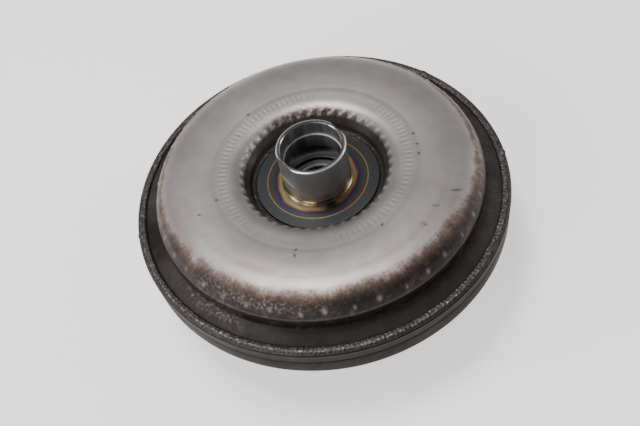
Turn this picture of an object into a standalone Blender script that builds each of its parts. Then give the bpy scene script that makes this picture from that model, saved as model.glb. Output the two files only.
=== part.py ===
"""A torque converter: a welded housing that holds a pump, a turbine, a stator and a lock-up clutch.

The section is drawn in millimetres as (radius, height) points. Heights are measured from the rim
plane, the top of the flange where the pump shell is welded to the front cover. The hub of the pump
points up, along +Z, and the converter stands on the tip of its pilot boss at Z = 0. A turned
profile lists its points clockwise: outwards on top, down the outer side and back underneath.
"""

import math

import bmesh
import bpy
from mathutils import Matrix, Vector

MM = 0.001
GAP = 0.3  # between pieces that rest on each other

# Driving dimensions, in millimetres.
RIM_HEIGHT = 64.0  # of the rim plane above the tip of the pilot boss
COVER_RADIUS = 121.0
SHELL_RADIUS = 105.0  # of the pump shell's outer wall
SHELL_WALL = 3.0
HUB_RADIUS = 21.75
HUB_TOP = 37.7
HUB_BORE = 18.0
TORUS_RADIUS = 76.0  # of the circle that the oil flows round
CORE_WIDTH, CORE_DEPTH = 11.5, 8.0  # half axes of the hollow core ring's section
PUMP_FACE, TURBINE_FACE = -1.0, -3.5  # the open edges of the two vane rings
RACE_RADIUS = 26.0  # of the surface that the clutch rollers run on
ROLLER_RADIUS = 3.0
NOSE_RADIUS = 20.0  # of the turbine hub, which the lock-up piston slides on
COVER_FLOOR = -47.0  # the cover's flat outer face
PILOT_RADIUS = 17.5
LUG_CIRCLE = 86.0
SPRING_CIRCLE = 58.0
SPRING_HEIGHT = -30.0
RIVET_CIRCLE = 47.5
PIN_CIRCLE = 68.5

PUMP_VANES, TURBINE_VANES, STATOR_BLADES = 42, 31, 18
LUGS, DAMPER_SPRINGS, RIVETS, ROLLERS, FINGERS = 4, 4, 6, 6, 8
NOSE_TEETH = 12

LARGE, MEDIUM, SMALL = 28, 24, 10  # segments round a full turn

# The pump shell's outer face, from its hole over the dome to the edge of its flange.
SHELL_OUTLINE = [
    (43.5, 4.6), (43.5, 9.0), (44.5, 12.5), (47.1, 17.0), (52.0, 20.0), (60.0, 21.3),
    (TORUS_RADIUS, 22.5), (88.0, 22.0), (95.0, 20.5), (100.0, 18.0), (102.5, 15.5),
    (104.6, 11.0), (SHELL_RADIUS, 3.0), (107.0, 1.2), (113.0, -0.3), (118.0, -0.3),
]
DOME_POINTS = (4, 6, 8, 10, 12)  # of SHELL_OUTLINE, which the pump vanes follow
INNER_POINTS = (15, 13, 12, 10, 8, 6, 4, 2, 0)  # of SHELL_OUTLINE, which its inner face follows
TURBINE_ANGLES = (0, 24, 54, 90, 138)  # round the turbine shell's section, from its rim
CORE_ANGLES = (0, 60, 120, 180)  # round the core ring's section

STEEL = ("shell_steel", (0.36, 0.33, 0.30), 0.42, 0.9)
DARK_STEEL = ("oxidised_steel", (0.08, 0.07, 0.06), 0.6, 0.7)
POLISHED = ("ground_steel", (0.42, 0.42, 0.42), 0.22, 1.0)
WELD = ("weld_metal", (0.10, 0.095, 0.09), 0.5, 0.8)
PRESSED = ("pressed_steel", (0.45, 0.44, 0.42), 0.4, 0.95)
ALUMINIUM = ("cast_aluminium", (0.72, 0.73, 0.74), 0.45, 0.9)
SPRING_STEEL = ("spring_steel", (0.16, 0.17, 0.19), 0.3, 0.95)
FRICTION = ("friction_paper", (0.20, 0.13, 0.07), 0.9, 0.0)
POLYMER = ("seal_polymer", (0.05, 0.05, 0.055), 0.6, 0.0)


def clear_scene():
    for obj in list(bpy.data.objects):
        bpy.data.objects.remove(obj, do_unlink=True)


def new_collection(name):
    collection = bpy.data.collections.new(name)
    bpy.context.scene.collection.children.link(collection)
    return collection


def axis_empty(name, parent=None, location=(0.0, 0.0, 0.0)):
    """A frame that pieces are parented to. Its Z axis is the joint's axis."""
    empty = bpy.data.objects.new(name, None)
    PARTS.objects.link(empty)
    empty.parent = parent
    empty.location = Vector(location) * MM
    return empty


def material_of(finish):
    name, colour, roughness, metallic = finish
    material = bpy.data.materials.get(name)
    if material is None:
        material = bpy.data.materials.new(name)
        material.use_nodes = True
        shader = material.node_tree.nodes["Principled BSDF"]
        shader.inputs["Base Color"].default_value = (*colour, 1.0)
        shader.inputs["Roughness"].default_value = roughness
        shader.inputs["Metallic"].default_value = metallic
        material.diffuse_color = (*colour, 1.0)
    return material


def settled(obj, weld=1e-6):
    """The object's evaluated shape as a plain mesh object, shaded smooth with its edges sharp."""
    bpy.context.view_layer.update()
    evaluated = obj.evaluated_get(bpy.context.evaluated_depsgraph_get())
    mesh = bpy.data.meshes.new_from_object(evaluated)
    name, parent, place = obj.name, obj.parent, obj.matrix_local.copy()
    bpy.data.objects.remove(obj, do_unlink=True)
    work = bmesh.new()
    work.from_mesh(mesh)
    bmesh.ops.remove_doubles(work, verts=work.verts, dist=weld)
    work.to_mesh(mesh)
    work.free()
    mesh.shade_smooth()
    mesh.set_sharp_from_angle(angle=math.radians(35))
    result = bpy.data.objects.new(name, mesh)
    PARTS.objects.link(result)
    result.parent = parent
    result.matrix_local = place
    return result


def finished(obj, finish, parent, location=(0.0, 0.0, 0.0), turn=0.0):
    """Puts a piece in its frame, at a place in millimetres and turned by degrees about Z."""
    obj.parent = parent
    obj.matrix_local = Matrix.Translation(Vector(location) * MM) @ Matrix.Rotation(math.radians(turn), 4, "Z")
    obj.data.materials.clear()
    obj.data.materials.append(material_of(finish))
    return obj


def as_cutter(obj, parent, location=(0.0, 0.0, 0.0), turn=0.0):
    """Makes a piece a cutter that the build leaves out."""
    PARTS.objects.unlink(obj)
    CUTTERS.objects.link(obj)
    obj.parent = parent
    obj.matrix_local = Matrix.Translation(Vector(location) * MM) @ Matrix.Rotation(math.radians(turn), 4, "Z")
    obj.hide_render = True
    obj.display_type = "WIRE"
    return obj


def turned(name, profile, steps=LARGE):
    """A body turned from a profile in millimetres. A profile that ends on the axis is left open there."""
    points = [(radius * MM, 0.0, height * MM) for radius, height in profile]
    edges = [(i, i + 1) for i in range(len(points) - 1)]
    if profile[0][0] > 0:
        edges.append((len(points) - 1, 0))
    mesh = bpy.data.meshes.new(name)
    mesh.from_pydata(points, edges, [])
    obj = bpy.data.objects.new(name, mesh)
    PARTS.objects.link(obj)
    screw = obj.modifiers.new("turn", "SCREW")
    screw.steps = steps
    screw.render_steps = steps
    screw.use_merge_vertices = True
    screw.merge_threshold = 1e-5
    return settled(obj)


def plate(name, outlines, low, high):
    """A flat body between two heights. The first outline is its edge and the others are holes."""
    curve = bpy.data.curves.new(name, "CURVE")
    curve.dimensions = "2D"
    curve.fill_mode = "BOTH"
    curve.extrude = (high - low) / 2 * MM
    for outline in outlines:
        spline = curve.splines.new("POLY")
        spline.points.add(len(outline) - 1)
        spline.use_cyclic_u = True
        for point, (x, y) in zip(spline.points, outline):
            point.co = (x * MM, y * MM, 0.0, 1.0)
    obj = bpy.data.objects.new(name, curve)
    PARTS.objects.link(obj)
    flat = settled(obj, weld=1e-5)
    flat.data.transform(Matrix.Translation((0.0, 0.0, (low + high) / 2 * MM)))
    return flat


def joined(name, obj, copies):
    """One mesh object that holds a copy of obj's mesh at each of the given matrices."""
    work = bmesh.new()
    for matrix in copies:
        mesh = obj.data.copy()
        mesh.transform(matrix)
        work.from_mesh(mesh)
        bpy.data.meshes.remove(mesh)
    mesh = bpy.data.meshes.new(name)
    work.to_mesh(mesh)
    work.free()
    bpy.data.objects.remove(obj, do_unlink=True)
    result = bpy.data.objects.new(name, mesh)
    PARTS.objects.link(result)
    return result


def around(count, start=0.0):
    """Rotations about Z that share out a full turn."""
    return [Matrix.Rotation(math.radians(start + 360.0 * i / count), 4, "Z") for i in range(count)]


def polar(radius, degrees):
    angle = math.radians(degrees)
    return radius * math.cos(angle), radius * math.sin(angle)


def circle(radius, steps=LARGE, centre=(0.0, 0.0)):
    corners = [polar(radius, 360.0 * i / steps) for i in range(steps)]
    return [(centre[0] + x, centre[1] + y) for x, y in corners]


def sector(inner, outer, middle, half_angle, steps):
    """The outline of a piece of a ring."""
    spread = [middle + half_angle * (2 * i / steps - 1) for i in range(steps + 1)]
    return [polar(outer, a) for a in spread] + [polar(inner, a) for a in reversed(spread)]


def rectangle(middle, inner, outer, half_width):
    """A rectangle whose long middle line is radial, at an angle in degrees."""
    corners = ((inner, -half_width), (outer, -half_width), (outer, half_width), (inner, half_width))
    angle = math.radians(middle)
    return [
        (x * math.cos(angle) - y * math.sin(angle), x * math.sin(angle) + y * math.cos(angle))
        for x, y in corners
    ]


def star(inner, outer, teeth, share):
    """A splined outline: the outer radius over a share of each pitch, and the inner one elsewhere."""
    pitch = 360.0 / teeth
    outline = []
    for i in range(teeth):
        low, high = (i - share / 2) * pitch, (i + share / 2) * pitch
        outline += [polar(inner, low), polar(outer, low), polar(outer, high), polar(inner, high)]
    return outline


def notched(outer, inner, count, half_angle, steps, start=0.0):
    """A round outline with notches of equal width cut into its edge."""
    outline = []
    for i in range(count):
        middle = start + 360.0 * i / count
        outline += [polar(inner, middle - half_angle), polar(inner, middle + half_angle)]
        free = 360.0 / count - 2 * half_angle
        outline += [polar(outer, middle + half_angle + free * k / steps) for k in range(steps + 1)]
    return outline


def ellipse(height, width, depth, degrees):
    """A point on the torus section, from its outer edge (0) over the top (90) to its inner edge (180)."""
    angle = math.radians(degrees)
    return TORUS_RADIUS + width * math.cos(angle), height + depth * math.sin(angle)


def inset(outline, depth):
    """The outline moved inwards, to the right of the way it runs, by depth."""
    moved = []
    for i, (x, y) in enumerate(outline):
        before = Vector(outline[i]) - Vector(outline[max(i - 1, 0)])
        after = Vector(outline[min(i + 1, len(outline) - 1)]) - Vector(outline[i])
        ways = [way.normalized() for way in (before, after) if way.length > 0]
        way = sum(ways, Vector((0.0, 0.0))).normalized()
        reach = depth / way.dot(ways[0])
        moved.append((x + way.y * reach, y - way.x * reach))
    return moved


def cut(obj, cutter, operation="DIFFERENCE"):
    boolean = obj.modifiers.new(operation.lower(), "BOOLEAN")
    boolean.operation = operation
    boolean.solver = "EXACT"
    boolean.object = cutter
    return obj


def box_cutter(name, low, high, copies):
    """Boxes between two corners, repeated at the given rotations."""
    outline = [(low[0], low[1]), (high[0], low[1]), (high[0], high[1]), (low[0], high[1])]
    return joined(name, plate(name, [outline], low[2], high[2]), copies)


# The housing: the pump, the front cover, their welds and what is fixed to them.


def pump_hub():
    """The neck that drives the gearbox's oil pump, with its flange and two drive flats."""
    profile = [
        (19.0, HUB_TOP - 0.5), (19.5, HUB_TOP), (HUB_RADIUS - 0.5, HUB_TOP),
        (HUB_RADIUS, HUB_TOP - 0.5), (HUB_RADIUS, 8.8), (22.3, 7.5), (23.4, 7.2), (39.8, 7.2),
        (39.8, 3.0), (19.8, 3.0), (19.8, 16.0), (HUB_BORE, 17.0), (HUB_BORE, 27.9), (19.0, 27.9),
    ]
    hub = finished(turned("pump_hub", profile), POLISHED, HOUSING)
    flats = box_cutter("drive_flat_cutter", (20.3, -12, 20.5), (26, 12, 40), around(2))
    cut(hub, as_cutter(flats, HOUSING))


def pump_shell():
    inside = inset(SHELL_OUTLINE, SHELL_WALL)
    profile = SHELL_OUTLINE + [inside[i] for i in INNER_POINTS]
    finished(turned("pump_shell", profile), STEEL, HOUSING)


def welds():
    hub_bead = [(40.1, 6.4), (41.6, 6.7), (43.2, 7.6), (43.2, 4.6), (40.1, 3.6)]
    finished(turned("hub_weld", hub_bead), WELD, HOUSING)
    rim_bead = [(115.3, 0.0), (116.2, 1.0), (117.8, 1.4), (119.3, 1.0), (120.2, 0.0)]
    finished(turned("closing_weld", rim_bead), WELD, HOUSING)
    pilot_bead = [(PILOT_RADIUS + GAP, -44.8), (20.6, -44.8), (PILOT_RADIUS + GAP, -47.4)]
    finished(turned("pilot_weld", pilot_bead, MEDIUM), WELD, HOUSING)


def vane_ring(name, outline, count, lean, core, finish, parent):
    """Thin leaning vanes joined by the core ring that they carry."""
    vane = plate(name + "_vane", [outline], -0.5, 0.5)
    stand = Matrix.Rotation(math.radians(90), 4, "X")
    tilt = Matrix.Rotation(math.radians(lean), 4, "X")
    vanes = joined(name + "_vanes", vane, [turn @ tilt @ stand for turn in around(count)])
    ring = finished(turned(name, core), finish, parent)
    cut(ring, as_cutter(vanes, parent), "UNION")


def pump_vane_ring():
    clear = inset(SHELL_OUTLINE, SHELL_WALL + 1.2)
    edge = [clear[i] for i in DOME_POINTS]
    seat = [ellipse(PUMP_FACE, CORE_WIDTH - 0.5, CORE_DEPTH - 0.5, a) for a in CORE_ANGLES[:3]]
    outline = [(54.0, 6.2), *edge, (edge[-1][0], PUMP_FACE), *seat, (66.0, 6.2)]
    core = [ellipse(PUMP_FACE, CORE_WIDTH, CORE_DEPTH, a) for a in reversed(CORE_ANGLES)]
    core += [ellipse(PUMP_FACE, CORE_WIDTH - 1, CORE_DEPTH - 1, a) for a in CORE_ANGLES]
    vane_ring("pump_vane_ring", outline, PUMP_VANES, 10, core, PRESSED, HOUSING)


def front_cover():
    """The pressed cover that closes the housing on the engine's side."""
    outer = [
        (118.3, -0.3), (120.5, -0.3), (COVER_RADIUS, -0.9), (COVER_RADIUS, -19.5), (119.6, -22.2),
        (114.0, -25.8), (108.0, -34.0), (103.0, -43.0), (100.8, -45.6), (97.0, COVER_FLOOR),
        (55.0, COVER_FLOOR), (48.0, -44.5), (14.3, -44.5),
    ]
    inner = [
        (14.3, -41.0), (48.7, -41.0), (55.6, -43.5), (96.4, -43.5), (98.7, -42.4), (100.2, -40.7),
        (105.0, -32.2), (111.0, -23.8), (116.5, -20.0), (116.5, -3.6), (118.3, -3.6),
    ]
    finished(turned("front_cover", outer + inner), DARK_STEEL, HOUSING)


def cover_fittings():
    """The pilot boss, the drive lugs that the flexplate bolts to, and two balance weights."""
    tip = -RIM_HEIGHT
    pilot = [
        (0.0, -55.0), (11.0, -55.0), (11.0, -41.3), (14.0, -41.3), (14.0, -44.8),
        (PILOT_RADIUS, -44.8), (PILOT_RADIUS, tip + 1.5), (16.0, tip), (0.0, tip),
    ]
    finished(turned("pilot_boss", pilot, MEDIUM), POLISHED, HOUSING)
    top = COVER_FLOOR - GAP
    lug = [(4.3, top), (11.0, top), (11.0, top - 8.2), (10.2, top - 9.0), (4.3, top - 9.0)]
    for i in range(LUGS):
        x, y = polar(LUG_CIRCLE, 45 + 360.0 * i / LUGS)
        body = turned(f"drive_lug_{i + 1}", lug, 20)
        finished(body, POLISHED, HOUSING, (x, y, 0))
    for i in range(2):
        outline = sector(87.5, 95.0, 0, 5, 4)
        weight = plate(f"balance_weight_{i + 1}", [outline], top - 2.0, top)
        finished(weight, WELD, HOUSING, turn=20 + 160 * i)


def thrust_rings():
    """The washers and needle cages that keep the turning parts apart along the axis."""
    rings = (
        ("cover_thrust_washer", 12.0, 19.0, -40.7, -39.8, POLYMER, HOUSING),
        ("rear_bearing_race", 22.0, 38.0, 1.9, 2.7, POLISHED, HOUSING),
        ("rear_bearing_cage", 22.5, 37.0, 0.0, 1.6, SPRING_STEEL, REAR_CAGE),
        ("front_bearing_cage", 22.5, 36.4, -16.2, -13.8, SPRING_STEEL, FRONT_CAGE),
        ("front_bearing_race", 22.0, 38.0, -17.6, -16.5, POLISHED, TURBINE),
        ("piston_seal", 18.9, 20.1, -37.7, -36.5, POLYMER, TURBINE),
    )
    for name, inner, outer, low, high, finish, parent in rings:
        profile = [(inner, high), (outer, high), (outer, low), (inner, low)]
        finished(turned(name, profile, MEDIUM), finish, parent)


# The turbine, which turns with the gearbox's input shaft.


def rivet_holes(name, parent):
    holes = plate(name, [circle(2.5, SMALL)], -26, -12)
    holes.data.transform(Matrix.Translation((RIVET_CIRCLE * MM, 0, 0)))
    return as_cutter(joined(name, holes, around(RIVETS)), parent)


def turbine_shell():
    upper = [ellipse(TURBINE_FACE, 23.4, -17.2, a) for a in reversed(TURBINE_ANGLES)]
    lower = [ellipse(TURBINE_FACE, 25.0, -18.8, a) for a in TURBINE_ANGLES]
    profile = [(43.5, -15.9), (55.0, -15.9), *upper, *lower, (54.5, -17.5), (43.5, -17.5)]
    shell = finished(turned("turbine_shell", profile), PRESSED, TURBINE)
    cut(shell, rivet_holes("turbine_shell_cutter", TURBINE))


def turbine_vane_ring():
    edge = [ellipse(TURBINE_FACE, 22.2, -16.0, a) for a in reversed(TURBINE_ANGLES)]
    seat = [ellipse(TURBINE_FACE, CORE_WIDTH - 0.5, 0.5 - CORE_DEPTH, a) for a in CORE_ANGLES[:3]]
    outline = [(58.0, -11.5), *edge, *seat, (66.0, -11.5)]
    core = [ellipse(TURBINE_FACE, CORE_WIDTH - 1, 1 - CORE_DEPTH, a) for a in reversed(CORE_ANGLES)]
    core += [ellipse(TURBINE_FACE, CORE_WIDTH, -CORE_DEPTH, a) for a in CORE_ANGLES]
    vane_ring("turbine_vane_ring", outline, TURBINE_VANES, 14, core, PRESSED, TURBINE)


def turbine_hub():
    """A splined hub: its flange carries the turbine, its nose the damper and the piston."""
    profile = [
        (9.5, -18.0), (52.0, -18.0), (52.0, -21.5), (NOSE_RADIUS, -21.5), (NOSE_RADIUS, -36.2),
        (18.6, -36.2), (18.6, -38.0), (NOSE_RADIUS, -38.0), (NOSE_RADIUS, -39.5), (9.5, -39.5),
    ]
    hub = finished(turned("turbine_hub", profile), POLISHED, TURBINE)
    bore = plate("input_spline_cutter", [star(9.2, 10.7, 24, 0.5)], -41, -16)
    cut(hub, as_cutter(bore, TURBINE))
    ridges = [circle(NOSE_RADIUS + 3, LARGE), star(18.8, NOSE_RADIUS + 0.2, NOSE_TEETH, 0.45)]
    cut(hub, as_cutter(plate("nose_spline_cutter", ridges, -33, -26), TURBINE))
    cut(hub, rivet_holes("turbine_hub_cutter", TURBINE))


def turbine_rivets():
    profile = [
        (0.0, -14.9), (3.2, -14.9), (3.2, -15.6), (2.2, -15.6), (2.2, -21.8), (3.2, -21.8),
        (3.2, -22.6), (0.0, -22.6),
    ]
    for i in range(RIVETS):
        x, y = polar(RIVET_CIRCLE, 360.0 * i / RIVETS)
        finished(turned(f"turbine_rivet_{i + 1}", profile, SMALL), SPRING_STEEL, TURBINE, (x, y, 0))


# The lock-up clutch: a sprung damper on the turbine hub and a piston that grips the cover.


def spring_windows(half_length):
    """Windows for the damper springs, whose long sides run round the hub."""
    middles = [45 + 360.0 * i / DAMPER_SPRINGS for i in range(DAMPER_SPRINGS)]
    low, high = SPRING_CIRCLE - 6.5, SPRING_CIRCLE + 6.5
    return [rectangle(middle, low, high, half_length) for middle in middles]


def damper_plates():
    pins = [circle(2.3, SMALL, polar(PIN_CIRCLE, 90.0 * i)) for i in range(4)]
    driven = [notched(72.0, 65.8, 4, 10.3, 6), star(19.1, NOSE_RADIUS + GAP, NOSE_TEETH, 0.53)]
    driven_plate = plate("damper_driven_plate", driven + spring_windows(20.6), -31.25, -28.75)
    finished(driven_plate, PRESSED, TURBINE)
    rear = [circle(74.0), circle(26.0), *pins, *spring_windows(20.6)]
    finished(plate("damper_rear_plate", rear, -27.0, -25.5), PRESSED, DAMPER)
    edge = notched(82.0, 77.2, FINGERS, 3.2, 4)
    front = [edge, circle(30.0), *pins, *spring_windows(20.6)]
    finished(plate("damper_front_plate", front, -34.5, -33.0), PRESSED, DAMPER)


def damper_pins():
    profile = [
        (0.0, -24.3), (3.4, -24.3), (3.4, -25.2), (2.0, -25.2), (2.0, -34.8), (3.4, -34.8),
        (3.4, -35.7), (0.0, -35.7),
    ]
    for i in range(4):
        x, y = polar(PIN_CIRCLE, 90.0 * i)
        finished(turned(f"damper_pin_{i + 1}", profile, SMALL), SPRING_STEEL, DAMPER, (x, y, 0))


def damper_spring(name):
    """A coil along Y, made of one round wire."""
    turns, per_turn, wire, radius, length = 5, 6, 1.4, 4.6, 36.0
    curve = bpy.data.curves.new(name, "CURVE")
    curve.dimensions = "3D"
    curve.bevel_depth = wire * MM
    curve.bevel_resolution = 1
    curve.use_fill_caps = True
    spline = curve.splines.new("POLY")
    spline.points.add(turns * per_turn)
    for i, point in enumerate(spline.points):
        x, z = polar(radius, 360.0 * i / per_turn)
        y = length * (i / (turns * per_turn) - 0.5)
        point.co = (x * MM, y * MM, z * MM, 1.0)
    obj = bpy.data.objects.new(name, curve)
    PARTS.objects.link(obj)
    return settled(obj, weld=1e-5)


def damper_springs():
    for i in range(DAMPER_SPRINGS):
        angle = 45 + 360.0 * i / DAMPER_SPRINGS
        x, y = polar(SPRING_CIRCLE, angle)
        spring = damper_spring(f"damper_spring_{i + 1}")
        finished(spring, SPRING_STEEL, DAMPER, (x, y, SPRING_HEIGHT), angle)


def lockup_piston():
    """A dished plate on the turbine hub's nose, whose fingers turn it with the damper."""
    profile = [
        (NOSE_RADIUS + 0.4, -33.5), (22.8, -33.5), (22.8, -36.5), (47.0, -36.5), (52.0, -39.7),
        (94.0, -39.7), (94.0, -36.5), (96.0, -36.5), (96.0, -41.7), (51.3, -41.7), (46.0, -38.5),
        (NOSE_RADIUS + 0.4, -38.5),
    ]
    piston = finished(turned("lockup_piston", profile), PRESSED, PISTON)
    fingers = box_cutter("piston_fingers", (77.8, -3.6, -40.4), (80.4, 3.6, -32.4), around(FINGERS))
    cut(piston, as_cutter(fingers, PISTON), "UNION")
    lining = [(78.0, -42.0), (93.0, -42.0), (93.0, -43.2), (78.0, -43.2)]
    finished(turned("friction_lining", lining), FRICTION, PISTON)


# The stator and its one-way clutch, between the pump and the turbine.


def stator_inner_race():
    profile = [
        (13.2, 2.0), (19.4, 2.0), (19.4, -1.9), (RACE_RADIUS, -1.9), (RACE_RADIUS, -11.9),
        (19.4, -11.9), (19.4, -15.5), (13.2, -15.5),
    ]
    race = finished(turned("stator_inner_race", profile), POLISHED, RACE)
    bore = plate("support_spline_cutter", [star(12.8, 14.4, 24, 0.5)], -17, 4)
    cut(race, as_cutter(bore, RACE))


def stator_wheel():
    """The aluminium wheel: a hub, a row of curved blades and the ring round them."""
    hub = [
        (40.0, -0.3), (44.0, -0.3), (44.0, 2.5), (47.0, 2.5), (47.0, -10.0), (44.0, -14.7),
        (40.0, -14.7),
    ]
    wheel = finished(turned("stator_wheel", hub), ALUMINIUM, STATOR)
    blade_section = [(-4.6, 1.8), (-3.6, 2.2), (2.4, -3.4), (4.2, -9.6), (3.6, -9.8), (-0.4, -4.4)]
    blade = plate("stator_blade", [blade_section], 46.4, 62.2)
    # The section lies in the plane that faces outwards: its x runs round the hub and its y runs up.
    face_out = Matrix(((0, 0, 1, 0), (1, 0, 0, 0), (0, 1, 0, 0), (0, 0, 0, 1)))
    blades = joined("stator_blades", blade, [turn @ face_out for turn in around(STATOR_BLADES)])
    cut(wheel, as_cutter(blades, STATOR), "UNION")
    shroud = turned("stator_shroud", [(61.6, 2.5), (63.8, 2.5), (63.8, -10.0), (61.6, -10.0)])
    cut(wheel, as_cutter(shroud, STATOR), "UNION")


def cam_outline():
    """The inside of the outer race: a round land between the roller pockets."""
    outline = []
    for i in range(ROLLERS):
        middle = 360.0 * i / ROLLERS
        for radius, turn in ((26.8, -8), (31.5, -8), (33.2, -3), (33.2, 5), (31.8, 17), (26.8, 17)):
            outline.append(polar(radius, middle + turn))
        outline += [polar(26.8, middle + 17 + 35 * k / 4) for k in (1, 2, 3)]
    return outline


def one_way_clutch():
    outer_race = plate("stator_outer_race", [circle(39.6), cam_outline()], -12.2, -1.6)
    finished(outer_race, POLISHED, STATOR)
    flat_rings = (
        ("clutch_rear_plate", 21.0, 39.6, -1.3, -0.3, SPRING_STEEL),
        ("clutch_front_plate", 21.0, 39.6, -13.5, -12.5, SPRING_STEEL),
    )
    for name, inner, outer, low, high, finish in flat_rings:
        profile = [(inner, high), (outer, high), (outer, low), (inner, low)]
        finished(turned(name, profile, MEDIUM), finish, STATOR)
    half = 174.0
    ring = sector(37.0, 39.6, 0, half, 28)
    finished(plate("stator_snap_ring", [ring], -14.7, -13.8), SPRING_STEEL, STATOR)


def clutch_rollers():
    """Each roller has its own axis. A folded strip beside it pushes it up its ramp."""
    profile = [(0.0, -2.2), (ROLLER_RADIUS, -2.2), (ROLLER_RADIUS, -11.6), (0.0, -11.6)]
    centre = RACE_RADIUS + ROLLER_RADIUS + 0.2
    for i in range(ROLLERS):
        angle = 360.0 * i / ROLLERS
        x, y = polar(centre, angle)
        axis = axis_empty(f"roller_axis_{i + 1}", STATOR, (x, y, 0))
        finished(turned(f"clutch_roller_{i + 1}", profile, 16), POLISHED, axis)
        spring = plate(f"roller_spring_{i + 1}", [folded_strip()], -11.2, -2.6)
        finished(spring, SPRING_STEEL, STATOR, turn=angle)


def folded_strip():
    """A zigzag strip with an even thickness, seen from above."""
    folds = [(28.0, 3.7), (30.2, 4.7), (28.0, 5.7), (30.2, 6.7), (28.0, 7.7)]
    thickness = 0.4
    return inset(folds, thickness / 2) + list(reversed(inset(folds, -thickness / 2)))


clear_scene()
PARTS = new_collection("torque_converter")
CUTTERS = new_collection("cutters")
HOUSING = axis_empty("housing_axis", location=(0, 0, RIM_HEIGHT))
TURBINE = axis_empty("turbine_axis", HOUSING)
DAMPER = axis_empty("damper_axis", TURBINE)
PISTON = axis_empty("piston_axis", DAMPER)
RACE = axis_empty("stator_race_axis", HOUSING)
STATOR = axis_empty("stator_axis", RACE)
REAR_CAGE = axis_empty("rear_cage_axis", HOUSING)
FRONT_CAGE = axis_empty("front_cage_axis", HOUSING)

pump_hub()
pump_shell()
welds()
pump_vane_ring()
front_cover()
cover_fittings()
thrust_rings()
turbine_shell()
turbine_vane_ring()
turbine_hub()
turbine_rivets()
damper_plates()
damper_pins()
damper_springs()
lockup_piston()
stator_inner_race()
stator_wheel()
one_way_clutch()
clutch_rollers()
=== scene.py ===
"""Finished surfaces and materials for a torque converter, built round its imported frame.

Lengths in the outlines are millimetres. A turned outline lists (radius, height, fillet) corners
clockwise, outwards on top and down the outer side, with heights measured from the rim plane, where
the pump shell's flange meets the front cover. Surfaces are numpy grids put into one mesh each.
"""

import math

import bmesh
import bpy
import numpy as np
from mathutils import Matrix, Vector


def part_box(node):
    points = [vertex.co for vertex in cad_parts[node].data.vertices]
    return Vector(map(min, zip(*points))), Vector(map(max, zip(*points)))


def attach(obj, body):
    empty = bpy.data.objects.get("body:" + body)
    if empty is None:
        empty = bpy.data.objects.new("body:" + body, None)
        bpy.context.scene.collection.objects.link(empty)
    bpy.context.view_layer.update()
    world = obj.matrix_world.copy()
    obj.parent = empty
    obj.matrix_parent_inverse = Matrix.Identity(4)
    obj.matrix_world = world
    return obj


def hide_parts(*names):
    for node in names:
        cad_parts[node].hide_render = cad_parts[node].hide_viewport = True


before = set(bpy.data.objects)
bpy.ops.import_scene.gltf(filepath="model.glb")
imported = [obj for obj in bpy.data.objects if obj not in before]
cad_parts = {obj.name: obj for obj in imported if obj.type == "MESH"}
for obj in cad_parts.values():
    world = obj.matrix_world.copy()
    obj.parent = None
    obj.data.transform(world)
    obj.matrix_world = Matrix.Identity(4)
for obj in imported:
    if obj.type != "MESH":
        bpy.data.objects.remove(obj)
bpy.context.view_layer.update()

MM = 0.001
HUB_TOP = 37.7
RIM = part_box("pump_hub")[1].z / MM - HUB_TOP
VANES = 42
TURBINE_VANES = 31
BLADES = 18
FULL_TURN = 2 * np.pi
RNG_SEED = 7


# Shapes: grids, turned outlines, swept sections and flat plates.


def smooth_noise(x, y, z, seed=0):
    """Sum of sines whose directions and phases come from the seed: smooth, and from -1 to 1."""
    rng = np.random.default_rng(RNG_SEED + seed)
    total = 0.0
    for _ in range(7):
        way = rng.normal(size=3)
        way /= np.linalg.norm(way)
        pace = rng.uniform(0.6, 1.5)
        phase = rng.uniform(0, FULL_TURN)
        total = total + np.sin(pace * (way[0] * x + way[1] * y + way[2] * z) + phase)
    return total / 5.0


def bump(distance, width):
    """A bell curve that is 1 where distance is 0."""
    return np.exp(-0.5 * (distance / width) ** 2)


def ramp(value, low, high):
    """A smooth step from 0 at low to 1 at high."""
    t = np.clip((value - low) / (high - low), 0, 1)
    return t * t * (3 - 2 * t)


def turn_gap(angle, middle):
    """The smallest turn from middle to angle, both in degrees, signed."""
    return (angle - middle + 180.0) % 360.0 - 180.0


def sector(angle, middle, half, fade):
    """1 round the middle azimuth, and 0 from half degrees away, with a smooth fade inside that."""
    return ramp(half - np.abs(turn_gap(angle, middle)), 0, fade)


def places(radius, angles):
    """East and north of points at these radii, with a row for each angle."""
    return radius * np.cos(angles)[:, None], radius * np.sin(angles)[:, None]


def rounded(corners, steps=4, closed=True):
    """The corners as a line, each replaced by an arc of its fillet radius."""
    points = np.array([c[:2] for c in corners], float)
    line = []
    for i, corner in enumerate(corners):
        here = points[i]
        fillet = corner[2] if len(corner) > 2 else 0.0
        if fillet == 0 or (not closed and i in (0, len(corners) - 1)):
            line.append(here[None])
            continue
        back = points[i - 1] - here
        ahead = points[(i + 1) % len(points)] - here
        back_length, ahead_length = np.linalg.norm(back), np.linalg.norm(ahead)
        back, ahead = back / back_length, ahead / ahead_length
        half = math.acos(float(np.clip(back @ ahead, -1, 1))) / 2
        cut = min(fillet / math.tan(half), 0.48 * back_length, 0.48 * ahead_length)
        t = np.linspace(0, 1, steps + 1)[:, None]
        # A quadratic curve between the two tangent points, which hugs the arc.
        start, end = here + back * cut, here + ahead * cut
        line.append((1 - t) ** 2 * start + 2 * t * (1 - t) * here + t**2 * end)
    return np.concatenate(line)


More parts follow.
